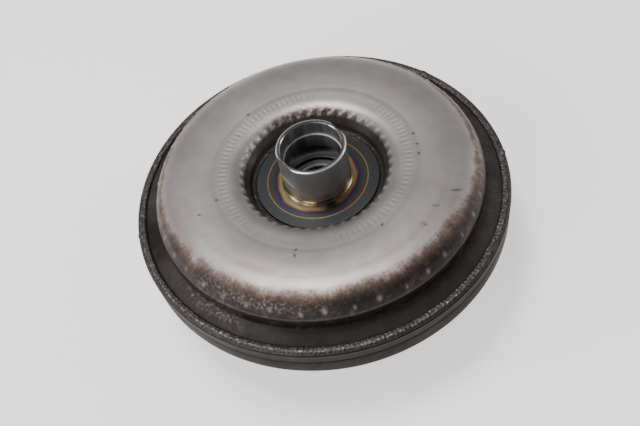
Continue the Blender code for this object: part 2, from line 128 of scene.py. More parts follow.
def refined(line, step, closed=True):
    """The line with its long stretches divided into pieces no longer than step."""
    ends = np.roll(line, -1, axis=0) if closed else line[1:]
    starts = line if closed else line[:-1]
    counts = np.maximum(1, np.ceil(np.linalg.norm(ends - starts, axis=1) / step)).astype(int)
    which = np.repeat(np.arange(len(starts)), counts)
    share = (np.arange(counts.sum()) - np.repeat(np.cumsum(counts) - counts, counts)) / counts[which]
    points = starts[which] + (ends - starts)[which] * share[:, None]
    return points if closed else np.concatenate([points, line[-1:]])


def through(points, steps):
    """A smooth line through the points, with the given steps between each two of them."""
    p = np.array(points, float)
    padded = np.concatenate([2 * p[:1] - p[1:2], p, 2 * p[-1:] - p[-2:-1]])
    line = []
    for i in range(len(p) - 1):
        a, b, c, d = padded[i : i + 4]
        t = np.linspace(0, 1, steps[i] if np.ndim(steps) else steps, endpoint=False)[:, None]
        line.append(
            0.5 * (2 * b + (c - a) * t + (2 * a - 5 * b + 4 * c - d) * t**2
                   + (3 * b - a - 3 * c + d) * t**3)
        )
    return np.concatenate([*line, p[-1:]])


def line_normals(line, closed=True):
    """Unit normals of a clockwise line, pointing out of the body."""
    if closed:
        ahead = np.roll(line, -1, axis=0) - np.roll(line, 1, axis=0)
    else:
        ahead = np.gradient(line, axis=0)
    ahead /= np.maximum(np.linalg.norm(ahead, axis=1, keepdims=True), 1e-12)
    return np.stack([-ahead[:, 1], ahead[:, 0]], axis=1)


def even_turn(count):
    """Angles that divide a full turn evenly."""
    return np.arange(count) * FULL_TURN / count


def grid_faces(rows, columns, wrap_rows, wrap_columns):
    """Quads between neighbouring points of a rows by columns grid."""
    i = np.arange(rows if wrap_rows else rows - 1)[:, None]
    j = np.arange(columns if wrap_columns else columns - 1)[None, :]
    ni, nj = (i + 1) % rows, (j + 1) % columns
    quads = np.stack([i * columns + j, ni * columns + j, ni * columns + nj, i * columns + nj], axis=-1)
    return quads.reshape(-1, 4)


def facing_out(points, faces):
    """The faces, turned round if the body they close is inside out."""
    a, b, c, d = (points[faces[:, k]] for k in range(4))
    halves = [np.einsum("ij,ij->i", a, np.cross(p, q)).sum() for p, q in ((b, c), (c, d))]
    return faces if sum(halves) > 0 else faces[:, ::-1]


class Solid:
    """Points and quads of closed bodies that become one mesh, with values stored on the points."""

    def __init__(self):
        self.points, self.faces, self.values, self.count = [], [], [], 0

    def add(self, grid, wrap_rows=True, wrap_columns=True, values=None):
        """Adds a grid of points (rows, columns, 3) in millimetres, with any values for them."""
        rows, columns = grid.shape[:2]
        flat = grid.reshape(-1, 3)
        faces = grid_faces(rows, columns, wrap_rows, wrap_columns)
        self.faces.append(facing_out(flat, faces) + self.count)
        self.points.append(flat)
        spread = {key: np.broadcast_to(value, (rows, columns)) for key, value in (values or {}).items()}
        self.values.append({key: value.reshape(-1) for key, value in spread.items()})
        self.count += len(flat)
        return self

    def add_faces(self, points, faces):
        """Adds a closed body given as points in millimetres and quads that point outwards."""
        self.points.append(points)
        self.faces.append(facing_out(points, faces) + self.count)
        self.values.append({})
        self.count += len(points)
        return self

    def finish(self, name, body, nodes, material, slot, sharp=42):
        """Makes the object, merges its poles and seams, shades it and puts it on its body."""
        points = np.concatenate(self.points) * MM
        points[:, 2] += RIM * MM
        mesh = bpy.data.meshes.new(name)
        mesh.from_pydata(points.tolist(), [], np.concatenate(self.faces).tolist())
        names = sorted({k for v in self.values for k in v})
        for key in names:
            parts = [v.get(key, np.zeros(len(p))) for v, p in zip(self.values, self.points)]
            attribute = mesh.attributes.new(key, "FLOAT", "POINT")
            attribute.data.foreach_set("value", np.concatenate(parts).astype(np.float32))
        work = bmesh.new()
        work.from_mesh(mesh)
        bmesh.ops.remove_doubles(work, verts=work.verts, dist=2e-7)
        bmesh.ops.dissolve_degenerate(work, edges=work.edges, dist=1e-8)
        work.to_mesh(mesh)
        work.free()
        mesh.shade_smooth()
        mesh.set_sharp_from_angle(angle=math.radians(sharp))
        mesh.materials.append(material)
        obj = bpy.data.objects.new(name, mesh)
        bpy.context.scene.collection.objects.link(obj)
        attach(obj, body)
        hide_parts(*nodes)
        return obj


def turned_grid(line, angles, push=0.0, centre=(0.0, 0.0), closed=True):
    """Point (angle, line) = centre + (r cos a, r sin a, z), pushed out along the line's normal."""
    normals = line_normals(line, closed)
    r = line[None, :, 0] + push * normals[None, :, 0]
    z = line[None, :, 1] + push * normals[None, :, 1] + 0 * angles[:, None]
    r = np.maximum(r, 0.0) + 0 * angles[:, None]
    a = angles[:, None] + 0 * r
    return np.stack([centre[0] + r * np.cos(a), centre[1] + r * np.sin(a), z], axis=-1)


def turned(corners, count=128, centre=(0.0, 0.0), step=4.0, steps=4, solid=None):
    """A plain turned body. An outline that starts and ends on the axis is open there."""
    closed = corners[0][0] > 0
    line = refined(rounded(corners, steps, closed), step, closed)
    grid = turned_grid(line, even_turn(count), 0.0, centre, closed)
    return (solid or Solid()).add(grid, True, closed)


def capped(grid):
    """The grid with a row at each end that draws it in to a point."""
    low, high = grid[:1].mean(1, keepdims=True), grid[-1:].mean(1, keepdims=True)
    count = grid.shape[1]
    return np.concatenate([np.repeat(low, count, 1), grid, np.repeat(high, count, 1)])


def swept(path, section, up):
    """A section (k, 2) carried along a path (n, 3). Its frame is the path's way and a steady up."""
    way = np.gradient(path, axis=0)
    way /= np.linalg.norm(way, axis=1, keepdims=True)
    up = np.broadcast_to(up, path.shape)
    side = np.cross(way, up)
    side /= np.linalg.norm(side, axis=1, keepdims=True)
    up = np.cross(side, way)
    return capped(path[:, None] + section[None, :, :1] * side[:, None] + section[None, :, 1:] * up[:, None])


def circle(radius, count=12):
    """A round section for swept."""
    a = even_turn(count)
    return np.stack([radius * np.cos(a), radius * np.sin(a)], axis=1)


def turn_about_z(points, angle):
    """The points turned about the main axis by an angle in radians."""
    c, s = math.cos(angle), math.sin(angle)
    return points @ np.array([[c, s, 0], [-s, c, 0], [0, 0, 1]])


def cell_plate(xy, keep, low, high):
    """A flat net of points round the axis (angles, radii, 2) made a sheet between two heights.

    Each kept cell has a top and a bottom, and a wall stands wherever it meets a missing one.
    """
    n, m = xy.shape[:2]
    flat = xy.reshape(-1, 2)
    top = np.column_stack([flat, np.full(len(flat), high)])
    bottom = np.column_stack([flat, np.full(len(flat), low)])
    points = np.concatenate([top, bottom])
    under = n * m
    i, j = np.nonzero(keep)
    ni = (i + 1) % n
    corner = [i * m + j, i * m + j + 1, ni * m + j + 1, ni * m + j]
    faces = [np.stack(corner, 1), np.stack(corner[::-1], 1) + under]
    walls = (
        (np.roll(keep, 1, 0), i * m + j, i * m + j + 1),
        (np.roll(keep, -1, 0), ni * m + j + 1, ni * m + j),
        (np.pad(keep, ((0, 0), (1, 0)))[:, :-1], ni * m + j, i * m + j),
        (np.pad(keep, ((0, 0), (0, 1)))[:, 1:], i * m + j + 1, ni * m + j + 1),
    )
    for neighbour, start, end in walls:
        open_side = ~neighbour[i, j]
        s, e = start[open_side], end[open_side]
        faces.append(np.stack([e, s, s + under, e + under], 1))
    return points, np.concatenate(faces)


def plate_solid(xy, keep, low, high):
    """cell_plate's body as a solid, with its unused points left out."""
    points, faces = cell_plate(xy, keep, low, high)
    used, where = np.unique(faces, return_inverse=True)
    return Solid().add_faces(points[used], where.reshape(faces.shape))


# Materials. A finish works out colour, roughness and relief from where a point is on the object.


class Finish:
    """A Principled material with helpers for the nodes that feed it."""

    def __init__(self, name, metallic, roughness):
        self.material = bpy.data.materials.new(name)
        self.material.use_nodes = True
        self.tree = self.material.node_tree
        self.shader = self.tree.nodes["Principled BSDF"]
        self.shader.inputs["Metallic"].default_value = metallic
        self.shader.inputs["Roughness"].default_value = roughness
        self.place = self.node("ShaderNodeTexCoord").outputs["Object"]
        split = self.node("ShaderNodeSeparateXYZ", {0: self.place})
        self.east, self.north, self.height = split.outputs
        flat = self.node("ShaderNodeCombineXYZ", {0: self.east, 1: self.north})
        length = self.node("ShaderNodeVectorMath", {0: flat.outputs[0]}, operation="LENGTH")
        self.radius = length.outputs["Value"]
        self.rings = self.node("ShaderNodeCombineXYZ", {0: self.radius, 2: self.height}).outputs[0]
        rim = self.vector("NORMALIZE", {0: flat.outputs[0]})
        rim = self.vector("SCALE", {0: rim, "Scale": 0.1})
        rise = self.node("ShaderNodeCombineXYZ", {2: self.times(self.radius, 0.25)}).outputs[0]
        self.spokes = self.vector("ADD", {0: rim, 1: rise})
        drift = self.vector("SCALE", {0: self.place, "Scale": 0.2})
        self.along = self.vector("ADD", {0: self.rings, 1: drift})
        self.normal = None

    def node(self, kind, inputs=None, **settings):
        """A new node with its settings, fed by values or by other nodes."""
        made = self.tree.nodes.new(kind)
        for key, value in settings.items():
            setattr(made, key, value)
        for key, value in (inputs or {}).items():
            self.feed(made.inputs[key], value)
        return made

    def vector(self, operation, inputs):
        """A vector worked out from others."""
        return self.node("ShaderNodeVectorMath", inputs, operation=operation).outputs[0]

    def feed(self, socket, value):
        """Links a node to the socket, or sets the socket's own value."""
        if isinstance(value, bpy.types.NodeSocket):
            self.tree.links.new(value, socket)
        elif socket.type == "RGBA":
            socket.default_value = (*value, 1.0)
        else:
            socket.default_value = value

    def value(self, name):
        """A value stored on the points of the mesh."""
        return self.node("ShaderNodeAttribute", attribute_name=name).outputs["Fac"]

    def noise(self, size, detail=3.0, rough=0.55, where=None, seed=0.0):
        """Cloudy noise from 0 to 1 whose spots are about size millimetres across."""
        inputs = {"Vector": where or self.place, "Scale": 1 / (size * MM), "Detail": detail}
        inputs |= {"Roughness": rough, "W": seed}
        made = self.node("ShaderNodeTexNoise", noise_dimensions="4D")
        for key, value in inputs.items():
            self.feed(made.inputs[key], value)
        return made.outputs["Fac"]

    def cells(self, size):
        """The distance to the nearest of scattered points, size millimetres apart."""
        inputs = {"Vector": self.place, "Scale": 1 / (size * MM)}
        return self.node("ShaderNodeTexVoronoi", inputs).outputs["Distance"]

    def span(self, value, low, high, to_low=0.0, to_high=1.0):
        """The value carried from low..high to another range, and held at its ends."""
        inputs = {0: value, 1: low, 2: high, 3: to_low, 4: to_high}
        return self.node("ShaderNodeMapRange", inputs).outputs[0]

    def math(self, operation, first, second=0.0):
        return self.node("ShaderNodeMath", {0: first, 1: second}, operation=operation).outputs[0]

    def plus(self, first, second):
        return self.math("ADD", first, second)

    def times(self, first, second):
        return self.math("MULTIPLY", first, second)

    def mixed(self, share, first, second):
        """The first colour where share is 0 and the second where it is 1."""
        return self.node("ShaderNodeMix", {0: share, 6: first, 7: second}, data_type="RGBA").outputs[2]

    def scale_of(self, value, stops):
        """A colour read from a scale of (value, colour) stops."""
        made = self.node("ShaderNodeValToRGB", {0: value})
        stop = made.color_ramp.elements
        while len(stop) < len(stops):
            stop.new(0.5)
        for element, (at, colour) in zip(stop, stops):
            element.position = at
            element.color = (*colour, 1.0)
        return made.outputs[0]

    def relief(self, height, depth):
        """Bump whose height from 0 to 1 stands for a depth in millimetres, over what is there already."""
        inputs = {"Height": height, "Distance": depth * MM}
        if self.normal:
            inputs["Normal"] = self.normal
        self.normal = self.node("ShaderNodeBump", inputs).outputs[0]

    def done(self, colour, roughness=None, metallic=None):
        """Feeds the shader and gives the finished material."""
        self.feed(self.shader.inputs["Base Color"], colour)
        if roughness:
            self.feed(self.shader.inputs["Roughness"], roughness)
        if metallic:
            self.feed(self.shader.inputs["Metallic"], metallic)
        if self.normal:
            self.feed(self.shader.inputs["Normal"], self.normal)
        return self.material


def shell_steel():
    """Satin steel that is pinkish grey on the dome, with brown and black scale from the weld's heat."""
    f = Finish("shell_steel", 0.72, 0.42)
    cloud = f.noise(34, 4, 0.6)
    grain = f.noise(1.1, 5, 0.7)
    drawn = f.noise(1.6, 4, 0.6, f.rings)
    clean = f.mixed(f.span(cloud, 0.32, 0.68), (0.335, 0.308, 0.299), (0.475, 0.442, 0.434))
    clouded = f.span(f.noise(6, 4, 0.6, seed=11.0), 0.42, 0.7, 0.0, 0.4)
    clean = f.mixed(clouded, clean, (0.365, 0.333, 0.325))
    clean = f.mixed(f.span(grain, 0.35, 0.8, 0.0, 0.35), clean, (0.29, 0.275, 0.27))
    smears = f.times(f.span(f.noise(13, 5, 0.65, seed=4.0), 0.44, 0.66), f.value("blush"))
    clean = f.mixed(smears, clean, (0.34, 0.245, 0.215))
    clean = f.mixed(f.value("shade"), clean, (0.20, 0.19, 0.185))
    streaks = f.span(f.noise(1.3, 4, 0.6, f.spokes), 0.25, 0.75, -0.08, 0.08)
    speckle = f.span(f.noise(1.5, 6, 0.8, seed=2.0), 0.25, 0.75, -0.13, 0.13)
    patches = f.span(f.noise(11, 5, 0.65, seed=6.0), 0.3, 0.7, -0.16, 0.16)
    burnt = f.value("oxide")
    ragged = f.plus(burnt, f.times(f.plus(streaks, f.plus(speckle, patches)), f.span(burnt, 0.0, 0.18)))
    scale = f.scale_of(ragged, [
        (0.04, (0.40, 0.335, 0.31)), (0.14, (0.29, 0.232, 0.205)), (0.28, (0.160, 0.118, 0.096)),
        (0.42, (0.080, 0.053, 0.040)), (0.60, (0.034, 0.023, 0.018)), (0.85, (0.013, 0.010, 0.009)),
    ])
    covered = f.span(ragged, 0.02, 0.2)
    worn = f.times(f.span(f.noise(5.5, 5, 0.7, seed=12.0), 0.50, 0.68, 0.0, 0.6), f.span(ragged, 0.45, 0.7))
    scale = f.mixed(worn, scale, (0.105, 0.066, 0.050))
    colour = f.mixed(covered, clean, scale)
    # Painted shade: darker in the throat by the hub, between the inner dimples and on the inner slope on
    # the camera's side.
    colour = f.mixed(f.value("dusk"), colour, (0.042, 0.039, 0.037))
    shade = f.span(f.noise(16, 5, 0.6, seed=8.0), 0.35, 0.65)
    shelf = f.mixed(shade, (0.024, 0.020, 0.020), (0.056, 0.049, 0.048))
    flakes = f.span(f.noise(1.7, 6, 0.8, seed=7.0), 0.50, 0.64)
    lifted = f.times(flakes, f.value("flakes"))
    shelf = f.mixed(lifted, shelf, (0.33, 0.25, 0.21))
    colour = f.mixed(lifted, colour, (0.37, 0.28, 0.24))
    shelf = f.mixed(f.times(f.value("sooty"), 0.85), shelf, (0.009, 0.0065, 0.006))
    rusty = f.span(f.noise(7, 5, 0.7, seed=13.0), 0.5, 0.7, 0.0, 0.5)
    shelf = f.mixed(rusty, shelf, (0.050, 0.031, 0.024))
    colour = f.mixed(f.value("shelf"), colour, shelf)
    # Painted highlight: the dimples' pips and the lip below the outer ones are lightened.
    colour = f.mixed(f.times(f.value("pip"), f.span(grain, 0.3, 0.6, 0.5, 1.0)), colour, (0.50, 0.45, 0.42))
    colour = f.mixed(f.value("scratch"), colour, (0.035, 0.03, 0.03))
    stain = f.times(f.value("stain"), f.span(f.noise(2.5, 5, 0.7, seed=9.0), 0.3, 0.6))
    colour = f.mixed(stain, colour, (0.075, 0.045, 0.030))
    rough = f.plus(f.span(grain, 0.3, 0.8, 0.36, 0.47), f.span(covered, 0, 1, 0.0, 0.08))
    rough = f.plus(rough, f.times(f.value("shelf"), 0.2))
    f.relief(grain, 0.03)
    f.relief(drawn, 0.010)
    f.relief(f.times(covered, f.noise(0.9, 4, 0.7)), 0.14)
    return f.done(colour, rough, f.span(covered, 0, 1, 0.72, 0.55))


def cover_steel():
    """Dark brown-grey oxidised steel with faint rings from turning and lighter rubbed patches."""
    f = Finish("oxidised_steel", 0.6, 0.5)
    f.shader.inputs["Specular IOR Level"].default_value = 0.25
    f.shader.inputs["Specular Tint"].default_value = (0.36, 0.34, 0.33, 1.0)
    rings = f.noise(0.9, 5, 0.7, f.along)
    cloud = f.noise(24, 5, 0.65)
    colour = f.scale_of(cloud, [(0.28, (0.021, 0.016, 0.014)), (0.5, (0.036, 0.028, 0.025)),
                                (0.72, (0.058, 0.049, 0.045))])
    colour = f.mixed(f.span(rings, 0.4, 0.72, 0.0, 0.5), colour, (0.078, 0.069, 0.063))
    colour = f.mixed(f.value("band"), colour, (0.104, 0.097, 0.091))
    # Painted shade on the skirt's camera side and where it turns in below; the thin dark lines at the
    # scored line and under the bead are dark joints.
    colour = f.mixed(f.value("dark"), colour, (0.012, 0.009, 0.008))
    specks = f.span(f.noise(1.2, 3, 0.6, seed=5.0), 0.70, 0.76, 0.0, 0.7)
    colour = f.mixed(specks, colour, (0.02, 0.014, 0.01))
    rust = f.times(f.span(f.noise(14, 5, 0.7, seed=3.0), 0.58, 0.7), f.span(f.noise(1.5, 3), 0.4, 0.6))
    colour = f.mixed(f.times(rust, 0.6), colour, (0.11, 0.05, 0.025))
    f.relief(rings, 0.03)
    f.relief(f.noise(1.4, 5, 0.7), 0.05)
    return f.done(colour, f.span(cloud, 0.3, 0.7, 0.56, 0.42))


def weld_metal(name, pale):
    """Charcoal weld bead with slag, painted glints on its ripples and a little brown."""
    f = Finish(name, 0.85, 0.4)
    lumps = f.noise(1.5, 6, 0.75)
    colour = f.scale_of(lumps, [(0.3, (0.018, 0.016, 0.016)), (0.52, (0.075, 0.068, 0.066)), (0.75, pale)])
    colour = f.mixed(f.span(f.noise(6, 4, seed=2.0), 0.5, 0.68, 0, 0.5), colour, (0.06, 0.032, 0.02))
    # Painted highlight: bright glints along the ripples, strongest on the crests the mesh marks.
    glint_spots = f.span(f.noise(0.5, 2, 0.5, f.along, 6.0), 0.60, 0.68)
    glint = f.times(glint_spots, f.span(f.noise(4, 3), 0.40, 0.6))
    crest = f.value("crest")
    glint = f.plus(f.times(glint, crest), f.times(f.span(lumps, 0.5, 0.66), f.times(crest, 0.22)))
    colour = f.mixed(f.value("burnt"), colour, (0.030, 0.025, 0.023))
    colour = f.mixed(glint, colour, (0.78, 0.76, 0.74))
    f.relief(lumps, 0.25)
    f.relief(f.noise(0.5, 3), 0.06)
    return f.done(colour, f.span(glint, 0, 1, 0.5, 0.25))


def hub_steel():
    """Ground and polished steel: rings from grinding, temper colours where the weld heated it, and painted
    highlights, shade and reflection.
    """
    f = Finish("ground_steel", 1.0, 0.2)
    lines = f.noise(0.28, 4, 0.7, f.rings)
    cloud = f.noise(9, 3)
    colour = f.mixed(f.span(cloud, 0.3, 0.7), (0.33, 0.33, 0.335), (0.42, 0.42, 0.42))
    colour = f.mixed(f.span(lines, 0.45, 0.75, 0, 0.35), colour, (0.22, 0.22, 0.225))
    phase = f.plus(f.value("temper"), f.span(f.noise(7, 3, seed=3.0), 0.25, 0.75, -0.07, 0.07))
    tint = f.scale_of(phase, [
        (0.0, (0.16, 0.12, 0.08)), (0.08, (0.66, 0.50, 0.27)), (0.25, (0.95, 0.68, 0.35)),
        (0.35, (0.58, 0.29, 0.13)), (0.43, (0.26, 0.10, 0.10)), (0.50, (0.13, 0.09, 0.22)),
        (0.59, (0.10, 0.155, 0.27)), (0.69, (0.14, 0.18, 0.17)), (0.82, (0.21, 0.17, 0.12)),
        (0.95, (0.29, 0.18, 0.10)),
    ])
    colour = f.mixed(f.value("tinted"), colour, tint)
    colour = f.mixed(f.value("grey"), colour, (0.155, 0.166, 0.160))
    # Painted shade: darker on the flange at the hub's front foot, on the flange except its west side, and
    # towards the bottom of the hub's wall.
    colour = f.mixed(f.value("dark"), colour, (0.025, 0.024, 0.024))
    specks = f.times(f.span(f.noise(0.9, 2, seed=8.0), 0.66, 0.70), f.value("grey"))
    colour = f.mixed(specks, colour, (0.5, 0.5, 0.48))
    f.relief(lines, 0.006)
    f.relief(f.noise(2.5, 4), 0.01)
    drawn = f.span(f.noise(30, 2, 0.5, f.spokes, 5.0), 0.35, 0.65)
    colour = f.mixed(f.times(f.value("wall"), f.span(drawn, 0, 1, 0.15, 0.75)), colour, (0.24, 0.235, 0.23))
    colour = f.mixed(f.value("bore"), colour, f.mixed(drawn, (0.075, 0.073, 0.072), (0.20, 0.195, 0.19)))
    # Painted highlight: a thin gold line along the flange's step edge, brighter on the west side.
    colour = f.mixed(f.value("line"), colour, (0.72, 0.48, 0.29))
    # Painted highlight on the hub's top edge and on the bore's ledge.
    colour = f.mixed(f.value("bright"), colour, (0.85, 0.84, 0.82))
    rough = f.plus(f.span(lines, 0.3, 0.8, 0.15, 0.22), f.times(f.value("grey"), 0.07))
    rough = f.plus(rough, f.times(f.value("tinted"), 0.07))
    rough = f.plus(rough, f.times(f.value("bore"), 0.16))
    dulled = f.plus(f.value("bore"), f.value("line"))
    lustre = f.plus(f.times(f.value("wall"), -0.22), f.times(dulled, -0.45))
    return f.done(colour, f.plus(rough, f.times(f.value("wall"), 0.12)), f.plus(lustre, 1.0))


# The housing, seen from outside.

FIT_TURN = -27.0  # degrees from the view's own azimuths to the frame's


def compass(angles):
    """Azimuths in degrees as the camera's side sees them: -90 is nearest to it."""
    return np.degrees(angles) - FIT_TURN


def arc_of(line):
    """Length along the line from its start to each point, in millimetres."""
    return np.concatenate([[0], np.cumsum(np.linalg.norm(np.diff(line, axis=0), axis=1))])


def near(line, radius, height):
    """Index of the line's point that is nearest to a radius and height."""
    return int(np.argmin(np.hypot(line[:, 0] - radius, line[:, 1] - height)))


SHELL_OUTLINE = [
    (43.5, 4.6), (43.5, 9.0), (44.5, 12.5), (47.1, 17.0), (52.0, 20.0), (60.0, 21.3), (76.0, 22.5),
    (88.0, 22.0), (95.0, 20.5), (100.0, 18.0), (102.5, 15.5), (104.6, 11.0), (105.0, 3.0), (107.0, 1.2),
    (113.0, -0.3), (118.0, -0.3),
]
SHELL_ROWS = (4, 4, 12, 10, 8, 12, 7, 6, 9, 8, 9, 6, 4, 4, 3)
SHELL_WALL = 3.0
CREASE_RADIUS = 65.0
OUTER_TABS = (102.4, 15.6)  # radius and height of the dimples over the vanes' tabs
INNER_TABS = (47.1, 17.0)
OUTER_TAB_ARM = 103.0  # turns an outer dimple's angle into millimetres
SHELL_COLUMNS = VANES * 18


def shell_relief(arc, line, angles):
    """Height of the pressed dome above its outline, and the values its finish reads.

    The dimples where the vanes' tabs are rolled over are bell curves of the distance round and along
    the outline, one for each vane, each with a dent beside it. Short radial strokes, a crease and a
    slow waviness are added.
    """
    degrees = compass(angles)[:, None]
    s, r = arc[None, :], line[None, :, 0]
    share = (angles * VANES / FULL_TURN)[:, None]
    index = np.floor(share).astype(int) % VANES
    rng = np.random.default_rng(RNG_SEED)
    uneven = rng.uniform(0.55, 1.25, VANES)[index]
    slide = rng.uniform(-1.3, 1.3, VANES)[index]
    outer, inner = arc[near(line, *OUTER_TABS)], arc[near(line, *INNER_TABS)]
    across = (share - np.floor(share) - 0.5) * FULL_TURN / VANES
    out_mm, in_mm = across * OUTER_TAB_ARM, across * INNER_TABS[0]
    broad = rng.uniform(0.4, 0.95, VANES)[index]
    pip = bump(out_mm - slide, broad) * bump(s - outer - 0.6 * slide, 0.6 + 0.7 * broad)
    dent = bump(out_mm - slide - 2.3, 1.5) * bump(s - outer, 2.0)
    inner_pip = bump(in_mm + 0.25 * (s - inner), 0.85) * bump(s - inner - 0.3, 1.2)
    inner_dent = bump(np.abs(in_mm) - 3.5, 0.8) * bump(s - inner + 0.4, 1.3)
    strokes = (np.abs((share * 2.5) % 1.0 - 0.5) < 0.16) * bump(r - 59.0, 1.6)
    crease = bump(r - CREASE_RADIUS, 0.9)
    x, y = places(r, angles)
    waves = smooth_noise(x / 14.0, y / 14.0, 0.0)
    near_tabs = ramp(s, outer - 9, outer - 2) * ramp(outer + 6 - s, 0, 3)
    hammered = smooth_noise(x / 3.2, y / 3.2, 0.0, 3) * near_tabs
    lip = bump(s - outer - 5.0, 0.5)
    height = uneven * (0.55 * pip - 0.30 * dent) + 0.42 * inner_pip - 0.38 * inner_dent
    height = height - 0.09 * strokes - 0.10 * crease + 0.05 * waves + 0.07 * hammered + 0.22 * lip
    front = sector(degrees, -97.0, 92.0, 62.0)
    ragged = smooth_noise(*places(22.0, angles), 0.0, 5)
    behind = sector(degrees, 88.0, 50.0, 30)
    start = outer - 16.5 + 1.6 * ragged
    burnt = front * np.clip((s - start) / (outer - 0.5 - start), 0, 1) ** 1.4
    burnt = burnt + 0.30 * (1 - front) * (1 - behind) * ramp(s, outer - 8.5, outer - 3.0)
    burnt = burnt + 0.12 * (1 - front) * ramp(s, outer - 1.0, outer + 4.0)
    foot = arc[near(line, 105.6, 2.2)]
    throat = ramp(inner - 1.2 - s, -0.6, 1.6)
    facing = sector(degrees, -88.0, 75.0, 50)
    pip_gap_shade = bump(s - inner + 0.4, 1.5) * (1 - bump(in_mm, 1.25)) * (1 - 0.6 * facing)
    scorch = bump(s - inner - 0.2, 1.6 + 2.2 * behind) * behind + 0.35 * throat * behind
    crevice = bump(s - foot + 1.5, 2.0) * (0.5 + 0.5 * front)
    patch = sector(degrees, -137.0, 16, 12) * bump(r - 107.5, 2.2)
    lifted = sector(degrees, -122.0, 34, 26) * bump(s - outer + 3.0, 2.6)
    pinkish = 0.8 * bump(r - 82.0, 1.6) * front
    values = {
        "oxide": np.clip(burnt + 0.6 * crevice, 0, 1),
        # Painted shade in the throat by the hub, between the inner dimples and on the inner slope on the
        # camera's side.
        "dusk": np.clip(0.78 * throat + 0.55 * pip_gap_shade + 0.36 * facing * bump(r - 49.0, 3.4), 0, 1),
        "blush": np.clip(bump(s - outer + 10.0, 4.0) * front + pinkish + 0.22, 0, 1),
        "shade": np.clip(0.30 * crease + 0.10 * bump(r - 62.5, 1.2)
                         + 0.34 * bump(r - 83.5, 1.2) * front, 0, 1),
        "shelf": ramp(s, foot - 0.6, foot + 0.8),
        # Painted highlight on the pips and on the lip below the outer dimples.
        "pip": np.clip(0.42 * pip * uneven + 0.85 * inner_pip + 0.12 * lip, 0, 1),
        "stain": np.clip(scorch, 0, 1),
        "flakes": np.clip(patch + 0.6 * lifted + 0.10 * ramp(s, foot - 0.6, foot + 0.8), 0, 1),
        "sooty": sector(degrees, -78.0, 56, 34)
                 + sector(degrees, -172.0, 14, 9),
        "scratch": shell_scratches(r, degrees),
    }
    return height, values


def shell_scratches(radius, degrees):
    """Short dark scratches across the dome and nicks along its crease."""
    marks = [(90.0, -31.0, 4.0, 0.35), (83.5, -51.0, 2.2, 0.3), (82.5, -41.0, 1.6, 0.4),
             (78.0, -165.0, 1.5, 0.4), (69.0, -110.0, 1.6, 0.45)]
    marks += [(CREASE_RADIUS, at, 0.9, 0.5) for at in (123, -170, -110, -63, -11, -4, 4)]
    total = 0.0
    for at_radius, at_degrees, long, wide in marks:
        round_way = np.radians(turn_gap(degrees, at_degrees)) * at_radius
        outward = radius - at_radius
        total = total + bump(round_way - 0.5 * outward, wide) * bump(outward, long / 2)
    return np.clip(1.4 * total, 0, 1)


def pump_shell(steel):
    """The pressed dome: outer face with its relief, and a plain inner face one wall below it."""
    outer = through(SHELL_OUTLINE, SHELL_ROWS)
    normals = line_normals(outer, closed=False)
    arc = arc_of(outer)
    angles = even_turn(SHELL_COLUMNS)
    height, values = shell_relief(arc, outer, angles)
    edge = np.minimum(ramp(arc, 0, 2.0), ramp(arc[-1] - arc, 0, 4.0))[None, :]
    height = height * edge
    kept = np.linspace(len(outer) - 1, 0, 15).astype(int)
    inner = outer[kept] - SHELL_WALL * normals[kept]
    inner[-1] = (outer[0, 0] + SHELL_WALL, outer[0, 1])
    face = turned_grid(outer, angles, height, closed=False)
    back = turned_grid(inner, angles, closed=False)
    pad = np.zeros((len(angles), len(inner)))
    values = {k: np.concatenate([np.broadcast_to(v, height.shape), pad], axis=1) for k, v in values.items()}
    solid = Solid().add(np.concatenate([face, back], axis=1), values=values)
    solid.finish("pump_shell_skin", "housing", ["pump_shell"], steel, "shell_steel", 50)


HUB_RADIUS = 21.75
BORE_LEDGE = 27.9  # height of the step down the bore
HUB_OUTLINE = [
    (19.0, 37.2), (19.5, HUB_TOP), (21.3, HUB_TOP), (HUB_RADIUS, 37.2), (HUB_RADIUS, 8.8), (21.9, 7.9),
    (22.6, 7.35), (23.4, 7.2), (32.1, 7.2), (32.25, 7.2), (32.42, 7.2), (32.52, 7.05), (32.7, 7.05),
    (32.85, 7.05), (39.5, 7.05), (39.8, 6.8), (39.8, 3.0, 0.4), (19.8, 3.0, 0.4), (19.8, 16.0),
    (18.0, 17.0), (18.0, BORE_LEDGE, 0.25), (19.0, BORE_LEDGE),
]
FLAT_REACH = 20.3
FLAT_FOOT = 20.5


